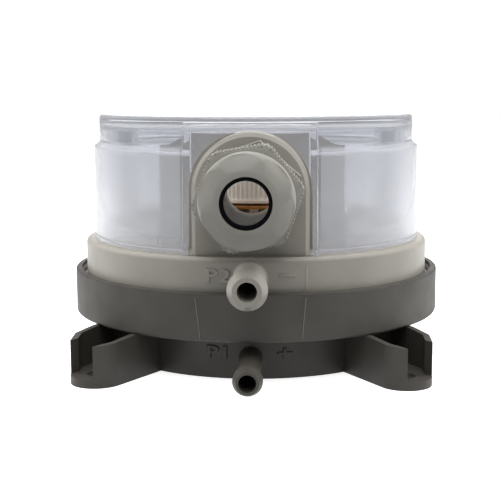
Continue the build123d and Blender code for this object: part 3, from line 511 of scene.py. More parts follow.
# Polyamide 6, moulded: the gland's cooler grey, with a satin face.
GREY_POLYAMIDE = MouldedPlastic(
    "moulded_polyamide",
    colour="96948D",
    cloud_colour="8F8D86",
    roughness=0.42,
    grain_mm=0.18,
    grain_height_mm=0.003,
    scatter=0.05,
)
# Acetal, moulded: a slippery milky white that glows a little at its edges.
WHITE_ACETAL = MouldedPlastic(
    "moulded_acetal",
    colour="E9E7E1",
    cloud_colour="E2E0D9",
    roughness=0.3,
    ior=1.48,
    grain_height_mm=0.001,
    scatter=0.15,
)
# PBT, moulded: an ivory white with a satin face.
IVORY_PBT = MouldedPlastic(
    "moulded_pbt",
    colour="D9D6CC",
    cloud_colour="D2CFC4",
    roughness=0.42,
    ior=1.57,
    grain_height_mm=0.002,
    scatter=0.08,
)
# Nitrile rubber, moulded: nearly black and dull, with a fine bloom.
NITRILE_RUBBER = MouldedPlastic(
    "nitrile_rubber",
    colour="050505",
    cloud_colour="08080A",
    roughness=0.7,
    ior=1.52,
    specular=0.05,
    grain_mm=0.1,
    grain_height_mm=0.003,
)
# Silicone rubber, moulded: a soft translucent beige.
SILICONE_RUBBER = MouldedPlastic(
    "silicone_rubber",
    colour="C2B5A8",
    cloud_colour="BBAEA1",
    roughness=0.55,
    ior=1.41,
    scatter=0.3,
)
# Silicone rubber again, filled grey for the cover's gasket.
PALE_SILICONE = MouldedPlastic(
    "filled_silicone", colour="B5B2AB", cloud_colour="AEABA4", roughness=0.6, ior=1.41, scatter=0.1
)
# Clear polycarbonate, polished mould: cool, bright and slightly hazy.
CLEAR_POLYCARBONATE = ClearPlastic("clear_polycarbonate")
# Zinc-plated steel: a bluish silver with faint turning lines.
ZINC_STEEL = Metal("zinc_plated_steel", colour="C3C6CA", stain="AEB2B8", roughness=0.32)
# Spring wire, drawn: a darker steel with lines along the wire.
SPRING_WIRE = Metal("drawn_spring_steel", colour="9C9A96", stain="86847F", roughness=0.28)
# Rolled aluminium: pale, with rolling lines along X.
ROLLED_ALUMINIUM = Metal(
    "rolled_aluminium",
    colour="CDCFD2",
    stain="BFC1C4",
    roughness=0.36,
    line_stretch=(0.05, 1.0, 1.0),
)
# Stamped brass: yellow, dulled a little by handling.
STAMPED_BRASS = Metal(
    "stamped_brass",
    colour="C9A95A",
    stain="B3924A",
    roughness=0.34,
    line_stretch=(0.06, 1.0, 1.0),
)
# Rolled copper alloy strip: orange-brown, brighter where it was rubbed.
ROLLED_COPPER = Metal(
    "rolled_copper",
    colour="E6A24C",
    stain="C4782E",
    roughness=0.26,
    line_stretch=(0.05, 1.0, 1.0),
)
# Hot-stamped print on the dial.
DIAL_INK = Ink("dial_print")


def deselect_everything() -> None:
    """Leave nothing selected, so that an operator acts on one piece alone."""
    for other in bpy.context.scene.objects:
        other.select_set(False)


def pick(piece: bpy.types.Object) -> None:
    """Make a piece the only selected and active one."""
    deselect_everything()
    piece.select_set(True)
    bpy.context.view_layer.objects.active = piece


def new_piece(name: str) -> bpy.types.Object:
    """Name the piece that a primitive operator has just added."""
    piece = bpy.context.object
    piece.name = name
    piece.data.name = name
    return piece


def settle(piece: bpy.types.Object) -> None:
    """Move a piece's place, turn and scale into its mesh."""
    pick(piece)
    bpy.ops.object.transform_apply(location=True, rotation=True, scale=True)


def select_edges(piece: bpy.types.Object, test: Callable[[Vector], bool]) -> None:
    """Select edges of the piece in edit mode by their place.

    Args:
        piece: the piece, in edit mode.
        test: given an edge's middle, says whether it is selected.
    """
    bpy.ops.mesh.select_mode(type="EDGE")
    bpy.ops.mesh.select_all(action="DESELECT")
    mesh = bmesh.from_edit_mesh(piece.data)
    for edge in mesh.edges:
        edge.select = test((edge.verts[0].co + edge.verts[1].co) / 2)
    mesh.select_flush_mode()
    bmesh.update_edit_mesh(piece.data)


def tidy_mesh(piece: bpy.types.Object, smooth_deg: float = 30.0) -> None:
    """Merge doubles, face every wall outwards and smooth what isn't an edge.

    Args:
        piece: the piece to tidy.
        smooth_deg: the sharpest angle that is still shaded smooth.
    """
    pick(piece)
    bpy.ops.object.mode_set(mode="EDIT")
    bpy.ops.mesh.select_all(action="SELECT")
    bpy.ops.mesh.remove_doubles(threshold=MERGE_DISTANCE)
    bpy.ops.mesh.normals_make_consistent(inside=False)
    bpy.ops.object.mode_set(mode="OBJECT")
    bpy.ops.object.shade_smooth_by_angle(angle=radians(smooth_deg))


def turned_solid(
    name: str,
    rings: Sequence[Pair],
    axis: Axis = Axis.UP,
    centre: Point = (0.0, 0.0, 0.0),
    segments: int = 160,
) -> bpy.types.Object:
    """Turn a closed solid by extruding one circle from ring to ring.

    Args:
        name: the piece's name.
        rings: radius and distance along the axis of each ring, in metres.
        axis: the line that the solid is turned about.
        centre: the point on the axis where the distance is zero.
        segments: how many sides each ring has.

    Returns:
        The solid, with both ends closed.
    """
    along = Vector((0, 0, 1)) if axis is Axis.UP else Vector((0, -1, 0))
    turn = (0.0, 0.0, 0.0) if axis is Axis.UP else (pi / 2, 0.0, 0.0)
    middle = Vector(centre)
    first_r, first_at = rings[0]
    deselect_everything()
    bpy.ops.mesh.primitive_circle_add(
        vertices=segments,
        radius=first_r,
        fill_type="NGON",
        location=middle + along * first_at,
        rotation=turn,
    )
    piece = new_piece(name)
    settle(piece)
    bpy.ops.object.mode_set(mode="EDIT")
    bpy.ops.mesh.select_all(action="SELECT")
    for (last_r, last_at), (next_r, next_at) in zip(rings, rings[1:]):
        bpy.ops.mesh.extrude_region_move(
            TRANSFORM_OT_translate={"value": along * (next_at - last_at)}
        )
        share = next_r / last_r
        spread = (share, share, 1.0) if axis is Axis.UP else (share, 1.0, share)
        bpy.ops.transform.resize(value=spread, center_override=middle + along * next_at)
    bpy.ops.object.mode_set(mode="OBJECT")
    tidy_mesh(piece)
    return piece


def rounded(
    corner: Pair, before: Pair, after: Pair, radius: float, steps: int = 5
) -> list[Pair]:
    """Replace one corner of a turned outline by a short arc.

    Args:
        corner: the sharp corner.
        before: the outline's point before it.
        after: the outline's point after it.
        radius: the length cut from each side of the corner.
        steps: how many points the arc has.

    Returns:
        The points of a quadratic arc that touches both sides.
    """
    place = Vector(corner)
    start = place + (Vector(before) - place).normalized() * radius
    end = place + (Vector(after) - place).normalized() * radius
    arc = []
    for step in range(steps + 1):
        share = step / steps
        point = start.lerp(place, share).lerp(place.lerp(end, share), share)
        arc.append((point.x, point.y))
    return arc


def softened(outline: Sequence[Pair], radii: Sequence[float]) -> list[Pair]:
    """Round the inner corners of an outline, each by its own radius.

    Args:
        outline: the corners of a turned outline, its ends included.
        radii: one radius for each corner, 0 where it stays sharp.

    Returns:
        The outline with its arcs.
    """
    made = [outline[0]]
    for index in range(1, len(outline) - 1):
        if radii[index] > 0:
            made += rounded(
                outline[index], outline[index - 1], outline[index + 1], radii[index]
            )
        else:
            made.append(outline[index])
    made.append(outline[-1])
    return made


def combine(piece: bpy.types.Object, tool: bpy.types.Object, join: Join) -> None:
    """Put two solids together and delete the second.

    Args:
        piece: the solid that stays.
        tool: the solid that is added, cut away or kept in common.
        join: which of these it is.
    """
    pick(piece)
    modifier = piece.modifiers.new("combine", "BOOLEAN")
    modifier.operation = join.value
    modifier.object = tool
    modifier.solver = "EXACT"
    bpy.ops.object.modifier_apply(modifier=modifier.name)
    bpy.data.objects.remove(tool)


def prism(
    name: str, outline: Sequence[Pair], near_y: float, far_y: float
) -> bpy.types.Object:
    """Make an upright prism along Y from an outline in X and Z.

    Args:
        name: the piece's name.
        outline: X and Z of each corner, in metres, anticlockwise seen from -Y.
        near_y: Y of the face that looks along -Y.
        far_y: Y of the face that looks along +Y.

    Returns:
        The closed prism.
    """
    deselect_everything()
    bpy.ops.mesh.primitive_circle_add(
        vertices=len(outline), radius=1.0, fill_type="NGON", rotation=(pi / 2, 0, 0)
    )
    piece = new_piece(name)
    settle(piece)
    for vertex, (x, z) in zip(piece.data.vertices, outline):
        vertex.co = (x, near_y, z)
    bpy.ops.object.mode_set(mode="EDIT")
    bpy.ops.mesh.select_all(action="SELECT")
    bpy.ops.mesh.extrude_region_move(
        TRANSFORM_OT_translate={"value": (0, far_y - near_y, 0)}
    )
    bpy.ops.object.mode_set(mode="OBJECT")
    tidy_mesh(piece)
    return piece


def raised_text(
    name: str, words: str, height: float, depth: float, stretch: float, place: Matrix
) -> bpy.types.Object:
    """Make raised lettering as a mesh.

    Args:
        name: the piece's name.
        words: the characters.
        height: the height of a capital, in metres.
        depth: how far the lettering reaches along its own normal, in metres.
        stretch: how much wider the lettering is than its plain form.
        place: where the middle of the lettering stands and how it is turned.

    Returns:
        The lettering's mesh, with its place in the mesh.
    """
    capital_share = 0.73
    bevel_share = 0.2
    deselect_everything()
    bpy.ops.object.text_add()
    piece = new_piece(name)
    piece.data.body = words
    piece.data.align_x = "CENTER"
    piece.data.align_y = "CENTER"
    piece.data.size = height / capital_share
    piece.data.extrude = depth / 2
    piece.data.bevel_depth = depth * bevel_share
    piece.data.bevel_resolution = 1
    piece.data.resolution_u = 3
    bpy.ops.object.convert(target="MESH")
    piece.matrix_world = place @ Matrix.Diagonal((stretch, 1.0, 1.0, 1.0))
    settle(piece)
    tidy_mesh(piece)
    return piece


def raised_bar(
    name: str, start: Point, end: Point, outward: Point, width: float, depth: float
) -> bpy.types.Object:
    """Make a thin bar with softened edges, half sunk in the face that it stands on.

    Args:
        name: the piece's name.
        start: the middle of one end, on the face.
        end: the middle of the other end, on the face.
        outward: the direction that the face looks in.
        width: the size across the bar and along the face.
        depth: the size across the face, half of it proud.

    Returns:
        The bar's mesh, in its place.
    """
    edge_share = 0.25
    run = Vector(end) - Vector(start)
    along = run.normalized()
    out = (Vector(outward) - along * along.dot(Vector(outward))).normalized()
    side = out.cross(along)
    deselect_everything()
    bpy.ops.mesh.primitive_cube_add(size=1.0)
    piece = new_piece(name)
    piece.scale = (width, depth, run.length)
    settle(piece)
    bpy.ops.object.mode_set(mode="EDIT")
    bpy.ops.mesh.select_all(action="SELECT")
    bpy.ops.mesh.bevel(offset=min(width, depth) * edge_share, segments=2, affect="EDGES")
    bpy.ops.object.mode_set(mode="OBJECT")
    turn = Matrix((side, out, along)).transposed().to_4x4()
    piece.matrix_world = Matrix.Translation((Vector(start) + Vector(end)) / 2) @ turn
    settle(piece)
    tidy_mesh(piece)
    return piece


def copies(piece: bpy.types.Object, places: Sequence[Matrix]) -> bpy.types.Object:
    """Repeat a piece at other places, each with its own mesh, and join them all.

    Args:
        piece: the piece that is repeated and stays as the first.
        places: how each further copy is moved.

    Returns:
        The joined piece.
    """
    made = []
    for place in places:
        other = piece.copy()
        other.data = piece.data.copy()
        bpy.context.scene.collection.objects.link(other)
        other.matrix_world = place
        settle(other)
        made.append(other)
    pick(piece)
    for other in made:
        other.select_set(True)
    bpy.ops.object.join()
    return piece


def dress(node: str, finish: Finish) -> None:
    """Give a CAD node a finish through its object's material slots."""
    for slot in frame["nodes"][node].material_slots:
        slot.material = finish.material()


def finish_piece(
    piece: bpy.types.Object, body: str, finish: Finish, stands_for: str = ""
) -> None:
    """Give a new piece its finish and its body.

    Args:
        piece: the finished mesh.
        body: the CAD body that it rides on.
        finish: the finish.
        stands_for: the CAD node that it replaces, if any.
    """
    piece.data.materials.clear()
    piece.data.materials.append(finish.material())
    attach(piece, body)
    if stands_for:
        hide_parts(stands_for)


def seen_share(
    tree: bpy.types.NodeTree, seen: float, diffuse: float, mirrored: float
) -> bpy.types.NodeSocket:
    """Give a strength that depends on how the surface or the sky is looked at.

    Args:
        tree: the node tree that takes the nodes.
        seen: the strength for the camera, also through a clear part.
        diffuse: the strength as a source of plain light.
        mirrored: the strength in a reflection.

    Returns:
        The output that carries the strength.
    """
    path = add_node(tree, "ShaderNodeLightPath")
    plain = add_node(
        tree,
        "ShaderNodeMath",
        settings={"operation": "MAXIMUM"},
        links={0: path.outputs["Is Camera Ray"], 1: path.outputs["Is Transmission Ray"]},
    )
    base = add_node(
        tree,
        "ShaderNodeMapRange",
        values={"To Min": diffuse, "To Max": seen},
        links={"Value": plain.outputs["Value"]},
    )
    mirror = add_node(
        tree,
        "ShaderNodeMapRange",
        values={"To Min": 0.0, "To Max": mirrored},
        links={"Value": path.outputs["Is Glossy Ray"]},
    )
    level = add_node(
        tree,
        "ShaderNodeMath",
        settings={"operation": "MAXIMUM"},
        links={0: base.outputs["Result"], 1: mirror.outputs["Result"]},
    )
    return level.outputs["Value"]


@dataclass
class Studio:
    """White sweep, soft boxes and the camera of a plain product picture."""

    camera_place: Point = (8.45 * MM, -259.86 * MM, 60.76 * MM)
    camera_forward: Point = (-0.0376, 0.9885, -0.1456)
    camera_roll: float = -0.0028
    focal_px: float = 1099.8
    sensor_mm: float = 36.0
    nearest: float = 0.01
    farthest: float = 20.0
    floor_half: float = 1.6
    # Just under the base, so that the two flat faces aren't at one height.
    floor_z: float = -0.05 * MM
    floor_seen: float = 0.9
    floor_bounce: float = 0.3
    floor_glow: float = 0.82
    world_level: float = 0.2
    mirror_level: float = 0.55
    side_watts: float = 3.9
    top_watts: float = 1.8
    fill_watts: float = 2.7
    back_watts: float = 0.85
    left_place: Point = (-0.5, 0.15, 0.25)
    right_place: Point = (0.5, 0.15, 0.25)
    top_place: Point = (0.0, -0.02, 0.62)
    front_place: Point = (0.0, -0.46, 0.7)
    back_place: Point = (0.0, 1.0, 0.29)
    lit_point: Point = (0.0, 0.0, 0.03)
    box_width: float = 0.5
    box_height: float = 0.55

    def build(self) -> None:
        """Build the camera, the floor, the world and the lamps."""
        self.add_camera()
        self.add_floor()
        self.light_world()
        self.add_lamps()

    def add_camera(self) -> None:
        """Stand the camera where the picture was taken from."""
        data = bpy.data.cameras.new("camera")
        data.sensor_width = self.sensor_mm
        data.lens = self.focal_px / IMAGE_WIDTH * self.sensor_mm
        data.clip_start = self.nearest
        data.clip_end = self.farthest
        camera = bpy.data.objects.new("camera", data)
        bpy.context.scene.collection.objects.link(camera)
        aim = Vector(self.camera_forward).to_track_quat("-Z", "Y")
        camera.matrix_world = (
            Matrix.Translation(Vector(self.camera_place))
            @ aim.to_matrix().to_4x4()
            @ Matrix.Rotation(self.camera_roll, 4, "Z")
        )
        bpy.context.scene.camera = camera

    def add_floor(self) -> None:
        """Lay a white sweep under and behind the switch."""
        deselect_everything()
        bpy.ops.mesh.primitive_plane_add(
            size=2 * self.floor_half, location=(0, 0, self.floor_z)
        )
        floor = new_piece("studio_floor")
        settle(floor)
        material = bpy.data.materials.new("white_sweep")
        material.use_nodes = True
        tree = material.node_tree
        tree.nodes.clear()
        paper = add_node(
            tree,
            "ShaderNodeBsdfDiffuse",
            links={"Color": seen_share(tree, self.floor_seen, self.floor_bounce, 0.0)},
        )
        glow = add_node(
            tree,
            "ShaderNodeEmission",
            values={"Color": WHITE},
            links={"Strength": seen_share(tree, self.floor_glow, 0.0, self.floor_glow)},
        )
        lit = add_node(
            tree,
            "ShaderNodeAddShader",
            links={0: paper.outputs["BSDF"], 1: glow.outputs["Emission"]},
        )
        add_node(tree, "ShaderNodeOutputMaterial", links={"Surface": lit.outputs["Shader"]})
        floor.data.materials.append(material)

    def light_world(self) -> None:
        """Show white behind the switch and light it evenly at a lower level."""
        world = bpy.data.worlds.new("studio_world")
        bpy.context.scene.world = world
        world.use_nodes = True
        tree = world.node_tree
        tree.nodes.clear()
        sky = add_node(
            tree,
            "ShaderNodeBackground",
            values={"Color": WHITE},
            links={"Strength": seen_share(tree, 1.0, self.world_level, self.mirror_level)},
        )
        add_node(tree, "ShaderNodeOutputWorld", links={"Surface": sky.outputs["Background"]})

    def add_lamps(self) -> None:
        """Hang a soft box at each side, one overhead, one in front and a weak one behind."""
        boxes = {
            "soft_box_left": (self.left_place, self.side_watts, False),
            "soft_box_right": (self.right_place, self.side_watts, False),
            "soft_box_top": (self.top_place, self.top_watts, True),
            "soft_box_front": (self.front_place, self.fill_watts, False),
            "soft_box_back": (self.back_place, self.back_watts, True),
        }
        for name, (place, power, mirrored) in boxes.items():
            data = bpy.data.lights.new(name, "AREA")
            data.shape = "RECTANGLE"
            data.size = self.box_width
            data.size_y = self.box_height
            data.energy = power
            lamp = bpy.data.objects.new(name, data)
            bpy.context.scene.collection.objects.link(lamp)
            lamp.location = place
            lamp.visible_camera = False
            lamp.visible_glossy = mirrored
            lamp.visible_transmission = False
            towards = Vector(self.lit_point) - Vector(place)
            lamp.rotation_euler = towards.to_track_quat("-Z", "Y").to_euler()


@dataclass
class Housings:
    """The dark lower housing and the grey upper one, with their moulded marks."""

    drum_r: float = 34.2 * MM
    ring_r: float = 42.5 * MM
    body_r: float = 39.9 * MM
    mark_height: float = 2.75 * MM
    mark_stretch: float = 1.45
    mark_depth: float = 0.6 * MM
    mark_stand: float = 0.26 * MM
    bar_width: float = 0.75 * MM
    bar_depth: float = 0.6 * MM
    seam_width: float = 0.22 * MM
    seam_depth: float = 0.2 * MM

    def build(self) -> None:
        """Dress both housings and the gasket, and raise the marks and parting lines."""
        dress("lower_housing", DARK_POLYAMIDE)
        dress("upper_housing", GREY_ABS)
        dress("cover_gasket", PALE_SILICONE)
        letters = {
            "P2": (-6.45, 22.84, self.body_r, GREY_ABS),
            "P1": (-6.85, 5.5, self.drum_r, DARK_POLYAMIDE),
        }
        bars = {
            "mark_minus": ((5.95, 23.1), (9.3, 23.1), self.body_r, GREY_ABS),
            "mark_plus_across": ((5.5, 5.4), (8.8, 5.4), self.drum_r, DARK_POLYAMIDE),
            "mark_plus_up": ((7.15, 4.15), (7.15, 6.65), self.drum_r, DARK_POLYAMIDE),
        }
        # The parting lines take the paler finishes, a painted highlight that stands in for light
        # catching them.
        seams = {
            "seam_ring_left": ((-11.05, 18.8), (-10.1, 10.2), self.ring_r, SEAM_HIGHLIGHT_POLYAMIDE),
            "seam_ring_right": ((11.4, 18.8), (10.7, 10.2), self.ring_r, SEAM_HIGHLIGHT_POLYAMIDE),
            "seam_body_right": ((11.6, 24.6), (11.5, 19.9), self.body_r, SEAM_HIGHLIGHT_ABS),
        }
        for words, place in letters.items():
            self.add_letters(words, *place)
        for name, line in bars.items():
            self.add_line(name, *line, self.bar_width, self.bar_depth)
        for name, line in seams.items():
            self.add_line(name, *line, self.seam_width, self.seam_depth)

    def add_letters(
        self, words: str, x_mm: float, height_mm: float, radius: float, finish: Finish
    ) -> None:
        """Raise a port's generic mark on the round face of a housing.

        Args:
            words: the characters of the mark.
            x_mm: how far the mark's middle is to the right of the axis.
            height_mm: the height of its middle.
            radius: the radius of the face that it stands on, in metres.
            finish: the housing's own finish.
        """
        x = x_mm * MM
        out_y = -sqrt((radius + self.mark_stand - self.mark_depth / 2) ** 2 - x**2)
        heading = Matrix.Rotation(x / radius, 4, "Z") @ Matrix.Rotation(pi / 2, 4, "X")
        mark = raised_text(
            f"mark_{words}",
            words,
            self.mark_height,
            self.mark_depth,
            self.mark_stretch,
            Matrix.Translation((x, out_y, height_mm * MM)) @ heading,
        )
        finish_piece(mark, "housing", finish)

    def add_line(
        self,
        name: str,
        start: Pair,
        end: Pair,
        radius: float,
        finish: Finish,
        width: float,
        depth: float,
    ) -> None:
        """Raise a bar or a parting line between two places on a round face.

        Args:
            name: the piece's name.
            start: X and height of one end, in millimetres.
            end: X and height of the other end, in millimetres.
            radius: the radius of the face that it stands on, in metres.
            finish: the line's own finish.
            width: how wide it is, in metres.
            depth: how thick it is, half of it proud, in metres.
        """
        first, last = (
            (x * MM, -sqrt(radius**2 - (x * MM) ** 2), z * MM) for x, z in (start, end)
        )
        outward = (first[0] + last[0], first[1] + last[1], 0.0)
        line = raised_bar(name, first, last, outward, width, depth)
        finish_piece(line, "housing", finish)


@dataclass
class CoverSet:
    """The clear cover, moulded with a foot, a shoulder and thick top corners."""

    bottom_z: float = 26.7 * MM
    foot_r: float = 37.85 * MM
    foot_height: float = 0.8 * MM
    side_r: float = 37.65 * MM
    bore_r: float = 36.15 * MM
    shoulder_z: float = 47.8 * MM
    neck_r: float = 36.35 * MM
    neck_bore_r: float = 34.85 * MM
    neck_z: float = 48.95 * MM
    top_z: float = 55.0 * MM
    top_round: float = 1.0 * MM
    ceiling_z: float = 53.5 * MM
    inner_corner: float = 2.4 * MM
    foot_round: float = 0.2 * MM
    shoulder_round: float = 0.3 * MM
    box_half_low: float = 14.0 * MM
    box_half_high: float = 13.8 * MM
    box_face_y: float = -37.2 * MM
    box_back_y: float = -25.0 * MM
    box_top_z: float = 53.6 * MM
    box_edge: float = 0.45 * MM
    wall: float = 1.5 * MM
    arch_half: float = 12.75 * MM
    arch_z: float = 39.6 * MM
    screw_x: float = 31.2 * MM
    post_r: float = 3.3 * MM
    post_low_z: float = 31.3 * MM
    well_r: float = 2.7 * MM
    well_z: float = 51.4 * MM
    hole_r: float = 1.55 * MM
    overshoot: float = 2.0 * MM
    smooth_deg: float = 25.0
    round_segments: int = 256
    post_segments: int = 48
    hole_segments: int = 32
    arch_steps: int = 48

    def build(self) -> None:
        """Model the cover and dress its screws."""
        cover = self.shell()
        self.add_posts(cover)
        tidy_mesh(cover, self.smooth_deg)
        finish_piece(cover, "clear_cover", CLEAR_POLYCARBONATE, "clear_cover")
        for node in ("cover_screw_left", "cover_screw_right"):
            dress(node, ZINC_STEEL)

    def box(self, name: str, inset: float) -> bpy.types.Object:
        """Return the flat front box, set in by a wall thickness."""
        low = self.bottom_z - (self.overshoot if inset else 0.0)
        high = self.box_top_z - inset
        half_low = self.box_half_low - inset
        half_high = self.box_half_high - inset
        front_y = self.box_face_y + inset
        outline = [(-half_low, low), (half_low, low), (half_high, high), (-half_high, high)]
        solid = prism(name, outline, front_y, self.box_back_y)
        bpy.ops.object.mode_set(mode="EDIT")
        select_edges(
            solid, lambda middle: middle.y < front_y + self.box_edge / 2 and middle.z > low
        )
        bpy.ops.mesh.bevel(offset=self.box_edge, segments=3, affect="EDGES")
        bpy.ops.object.mode_set(mode="OBJECT")
        return solid

    def shell(self) -> bpy.types.Object:
        """Return the hollow cover with its box and the arch over the gland."""
        foot_top = self.bottom_z + self.foot_height
        outline = [
            (self.foot_r, self.bottom_z),
            (self.foot_r, foot_top),
            (self.side_r, foot_top + (self.foot_r - self.side_r) / 2),
            (self.side_r, self.shoulder_z),
            (self.neck_r, self.neck_z),
            (self.neck_r, self.top_z),
            (self.neck_r / 2, self.top_z),
        ]
        foot, shoulder = self.foot_round, self.shoulder_round
        radii = [0.0, foot, foot, shoulder, shoulder, self.top_round, 0.0]
        cover = turned_solid(
            "cover_shell", softened(outline, radii), segments=self.round_segments
        )
        combine(cover, self.box("cover_box", 0.0), Join.ADD)
        drop = self.wall / 2
        hollow = [
            (self.bore_r, self.bottom_z - self.overshoot),
            (self.bore_r, self.shoulder_z - drop),
            (self.neck_bore_r, self.neck_z - drop),
            (self.neck_bore_r, self.ceiling_z),
            (self.neck_bore_r / 2, self.ceiling_z),
        ]
        radii = [0.0, shoulder, shoulder, self.inner_corner, 0.0]
        cavity = turned_solid(
            "cover_cavity", softened(hollow, radii), segments=self.round_segments
        )
        combine(cavity, self.box("cover_box_cavity", self.wall), Join.ADD)
        combine(cover, cavity, Join.CUT)
        combine(cover, self.arch(), Join.CUT)
        return cover

    def arch(self) -> bpy.types.Object:
        """Return the round-topped opening that clears the gland's tower."""
        turns = [pi * step / self.arch_steps for step in range(self.arch_steps + 1)]
        low = self.bottom_z - self.overshoot
        outline = [(-self.arch_half, low), (self.arch_half, low)]
        outline += [
            (self.arch_half * cos(turn), self.arch_z + self.arch_half * sin(turn))
            for turn in turns
        ]
        front_y = self.box_face_y - self.overshoot
        return prism("cover_arch", outline, front_y, self.box_back_y)

    def add_posts(self, cover: bpy.types.Object) -> None:
        """Hang a hollow screw post under each well of the cover."""
        post_top = (self.ceiling_z + self.top_z) / 2
        well_top = self.top_z + self.overshoot
        hole_low = self.post_low_z - self.overshoot
        hole_top = self.well_z + self.overshoot
        wide, fine = self.post_segments, self.hole_segments
        steps = (
            ("cover_post", self.post_r, self.post_low_z, post_top, wide, Join.ADD),
            ("cover_well", self.well_r, self.well_z, well_top, wide, Join.CUT),
            ("cover_hole", self.hole_r, hole_low, hole_top, fine, Join.CUT),
        )
        for side in (-1, 1):
            centre = (side * self.screw_x, 0.0, 0.0)
            for name, radius, low, high, segments, join in steps:
                rings = [(radius, low), (radius, high)]
                tool = turned_solid(name, rings, centre=centre, segments=segments)
                combine(cover, tool, join)


@dataclass
class CableGland:
    """Gland body, ribbed nut and rubber seal, all along one axis towards -Y."""

    axis: Point = (0.0, 0.0, 39.6 * MM)
    nut_back: float = 41.6 * MM
    nut_front: float = 58.0 * MM
    hex_corner_r: float = 11.085 * MM
    hex_flat_r: float = 9.6 * MM
    hex_front: float = 50.6 * MM
    hex_turn_deg: float = 20.0
    corner: float = 0.8 * MM
    dome_r: float = 9.35 * MM
    dome_back: float = 51.3 * MM
    groove_r: float = 8.9 * MM
    dome_corner: Pair = (9.2 * MM, 56.3 * MM)
    dome_round: float = 1.3 * MM
    lip: Pair = (6.0 * MM, 57.75 * MM)
    lip_round: float = 0.3 * MM
    mouth_r: float = 5.0 * MM
    facet_back: Pair = (9.02 * MM, 55.5 * MM)
    facet_front: Pair = (6.2 * MM, 57.55 * MM)
    rib_count: int = 13
    rib_pitch: float = 0.75 * MM
    rib_width: float = 0.4 * MM
    rib_depth: float = 0.6 * MM
    rib_back: float = 42.5 * MM
    rib_front: float = 50.2 * MM
    thread_r: float = 8.05 * MM
    thread_front: float = 51.0 * MM
    cone_end: Pair = (7.4 * MM, 53.3 * MM)
    mouth_back: float = 56.0 * MM
    seal_back: float = 56.1 * MM
    seal_bore_r: float = 4.25 * MM
    seal_gap: float = 0.1 * MM
    liner_r: float = 6.2 * MM
    liner_front: float = 54.2 * MM
    liner_bore_r: float = 5.2 * MM
    liner_throat_r: float = 4.85 * MM
    liner_throat: float = 51.0 * MM
    liner_back: float = 27.7 * MM
    smooth_deg: float = 25.0
    sides: int = 6
    ring_segments: int = 96

    def build(self) -> None:
        """Dress the body and model the nut, its ribs, the seal and the liner."""
        dress("gland_body", GREY_POLYAMIDE)
        nut = self.nut()
        finish_piece(nut, "gland_nut", GREY_POLYAMIDE, "gland_nut")
        finish_piece(self.ribs(), "gland_nut", GREY_POLYAMIDE)
        finish_piece(self.seal(), "housing", NITRILE_RUBBER, "gland_seal")
        finish_piece(self.liner(), "housing", GREY_POLYAMIDE)

    def turned(self, name: str, rings: Sequence[Pair], segments: int = 128) -> bpy.types.Object:
        """Return a solid turned about the gland's axis."""
        return turned_solid(name, rings, Axis.FORWARD, self.axis, segments)

    def six_sided(self, name: str, rings: Sequence[Pair]) -> bpy.types.Object:
        """Return a six-sided solid about the gland's axis, turned as the nut is."""
        solid = self.turned(name, rings, segments=self.sides)
        about = Matrix.Translation(self.axis)
        turn = Matrix.Rotation(radians(self.hex_turn_deg), 4, "Y")
        solid.matrix_world = about @ turn @ about.inverted()
        settle(solid)
        return solid

    def nut(self) -> bpy.types.Object:
        """Return the nut: chamfered hexagon, faceted dome and stepped bore."""
        hexagon = [(self.hex_corner_r, self.nut_back), (self.hex_corner_r, self.hex_front)]
        nut = self.six_sided("gland_nut_ribbed", hexagon)
        envelope = self.turned(
            "nut_envelope",
            [
                (self.hex_corner_r - self.corner, self.nut_back - self.corner / 4),
                (self.hex_corner_r, self.nut_back + self.corner),
                (self.hex_corner_r, self.hex_front - self.corner),
                (self.dome_r, self.hex_front),
            ],
        )
        combine(nut, envelope, Join.KEEP)
        dome_line = softened(
            [
                (self.dome_r, self.dome_back),
                self.dome_corner,
                self.lip,
                (self.mouth_r, self.nut_front),
            ],
            [0.0, self.dome_round, self.lip_round, 0.0],
        )
        groove = [
            (self.groove_r, self.hex_front - self.corner),
            (self.groove_r, self.dome_back - self.corner / 4),
        ]
        dome = self.turned("nut_dome", [*groove, *dome_line])
        flat_share = sqrt(3) / 2
        facets = self.six_sided(
            "nut_facets",
            [
                (self.hex_corner_r, self.nut_back),
                (self.hex_corner_r, self.facet_back[1]),
                (self.facet_back[0] / flat_share, self.facet_back[1]),
                (self.facet_front[0] / flat_share, self.facet_front[1]),
                (self.facet_front[0] / flat_share, self.nut_front + self.corner),
            ],
        )
        combine(dome, facets, Join.KEEP)
        combine(nut, dome, Join.ADD)
        bore = self.turned(
            "nut_bore",
            [
                (self.thread_r, self.nut_back - self.corner),
                (self.thread_r, self.thread_front),
                self.cone_end,
                (self.mouth_r, self.mouth_back),
                (self.mouth_r, self.nut_front + self.corner),
            ],
        )
        combine(nut, bore, Join.CUT)
        tidy_mesh(nut, self.smooth_deg)
        return nut

    def ribs(self) -> bpy.types.Object:
        """Return the fine grip ribs of all six flats."""
        one_side = 360 / self.sides
        flat = radians(90 - self.hex_turn_deg + one_side / 2)
        outward = Vector((cos(flat), 0.0, sin(flat)))
        across = Vector((-sin(flat), 0.0, cos(flat)))
        centre = Vector(self.axis) + outward * self.hex_flat_r
        first = centre - across * self.rib_pitch * (self.rib_count - 1) / 2
        rib = raised_bar(
            "nut_ribs",
            tuple(first + Vector((0.0, -self.rib_back, 0.0))),
            tuple(first + Vector((0.0, -self.rib_front, 0.0))),
            tuple(outward),
            self.rib_width,
            self.rib_depth,
        )
        steps = [
            Matrix.Translation(across * self.rib_pitch * step)
            for step in range(1, self.rib_count)
        ]
        one_flat = copies(rib, steps)
        about = Matrix.Translation(self.axis)
        turns = [
            about @ Matrix.Rotation(radians(one_side * step), 4, "Y") @ about.inverted()
            for step in range(1, self.sides)
        ]
        return copies(one_flat, turns)

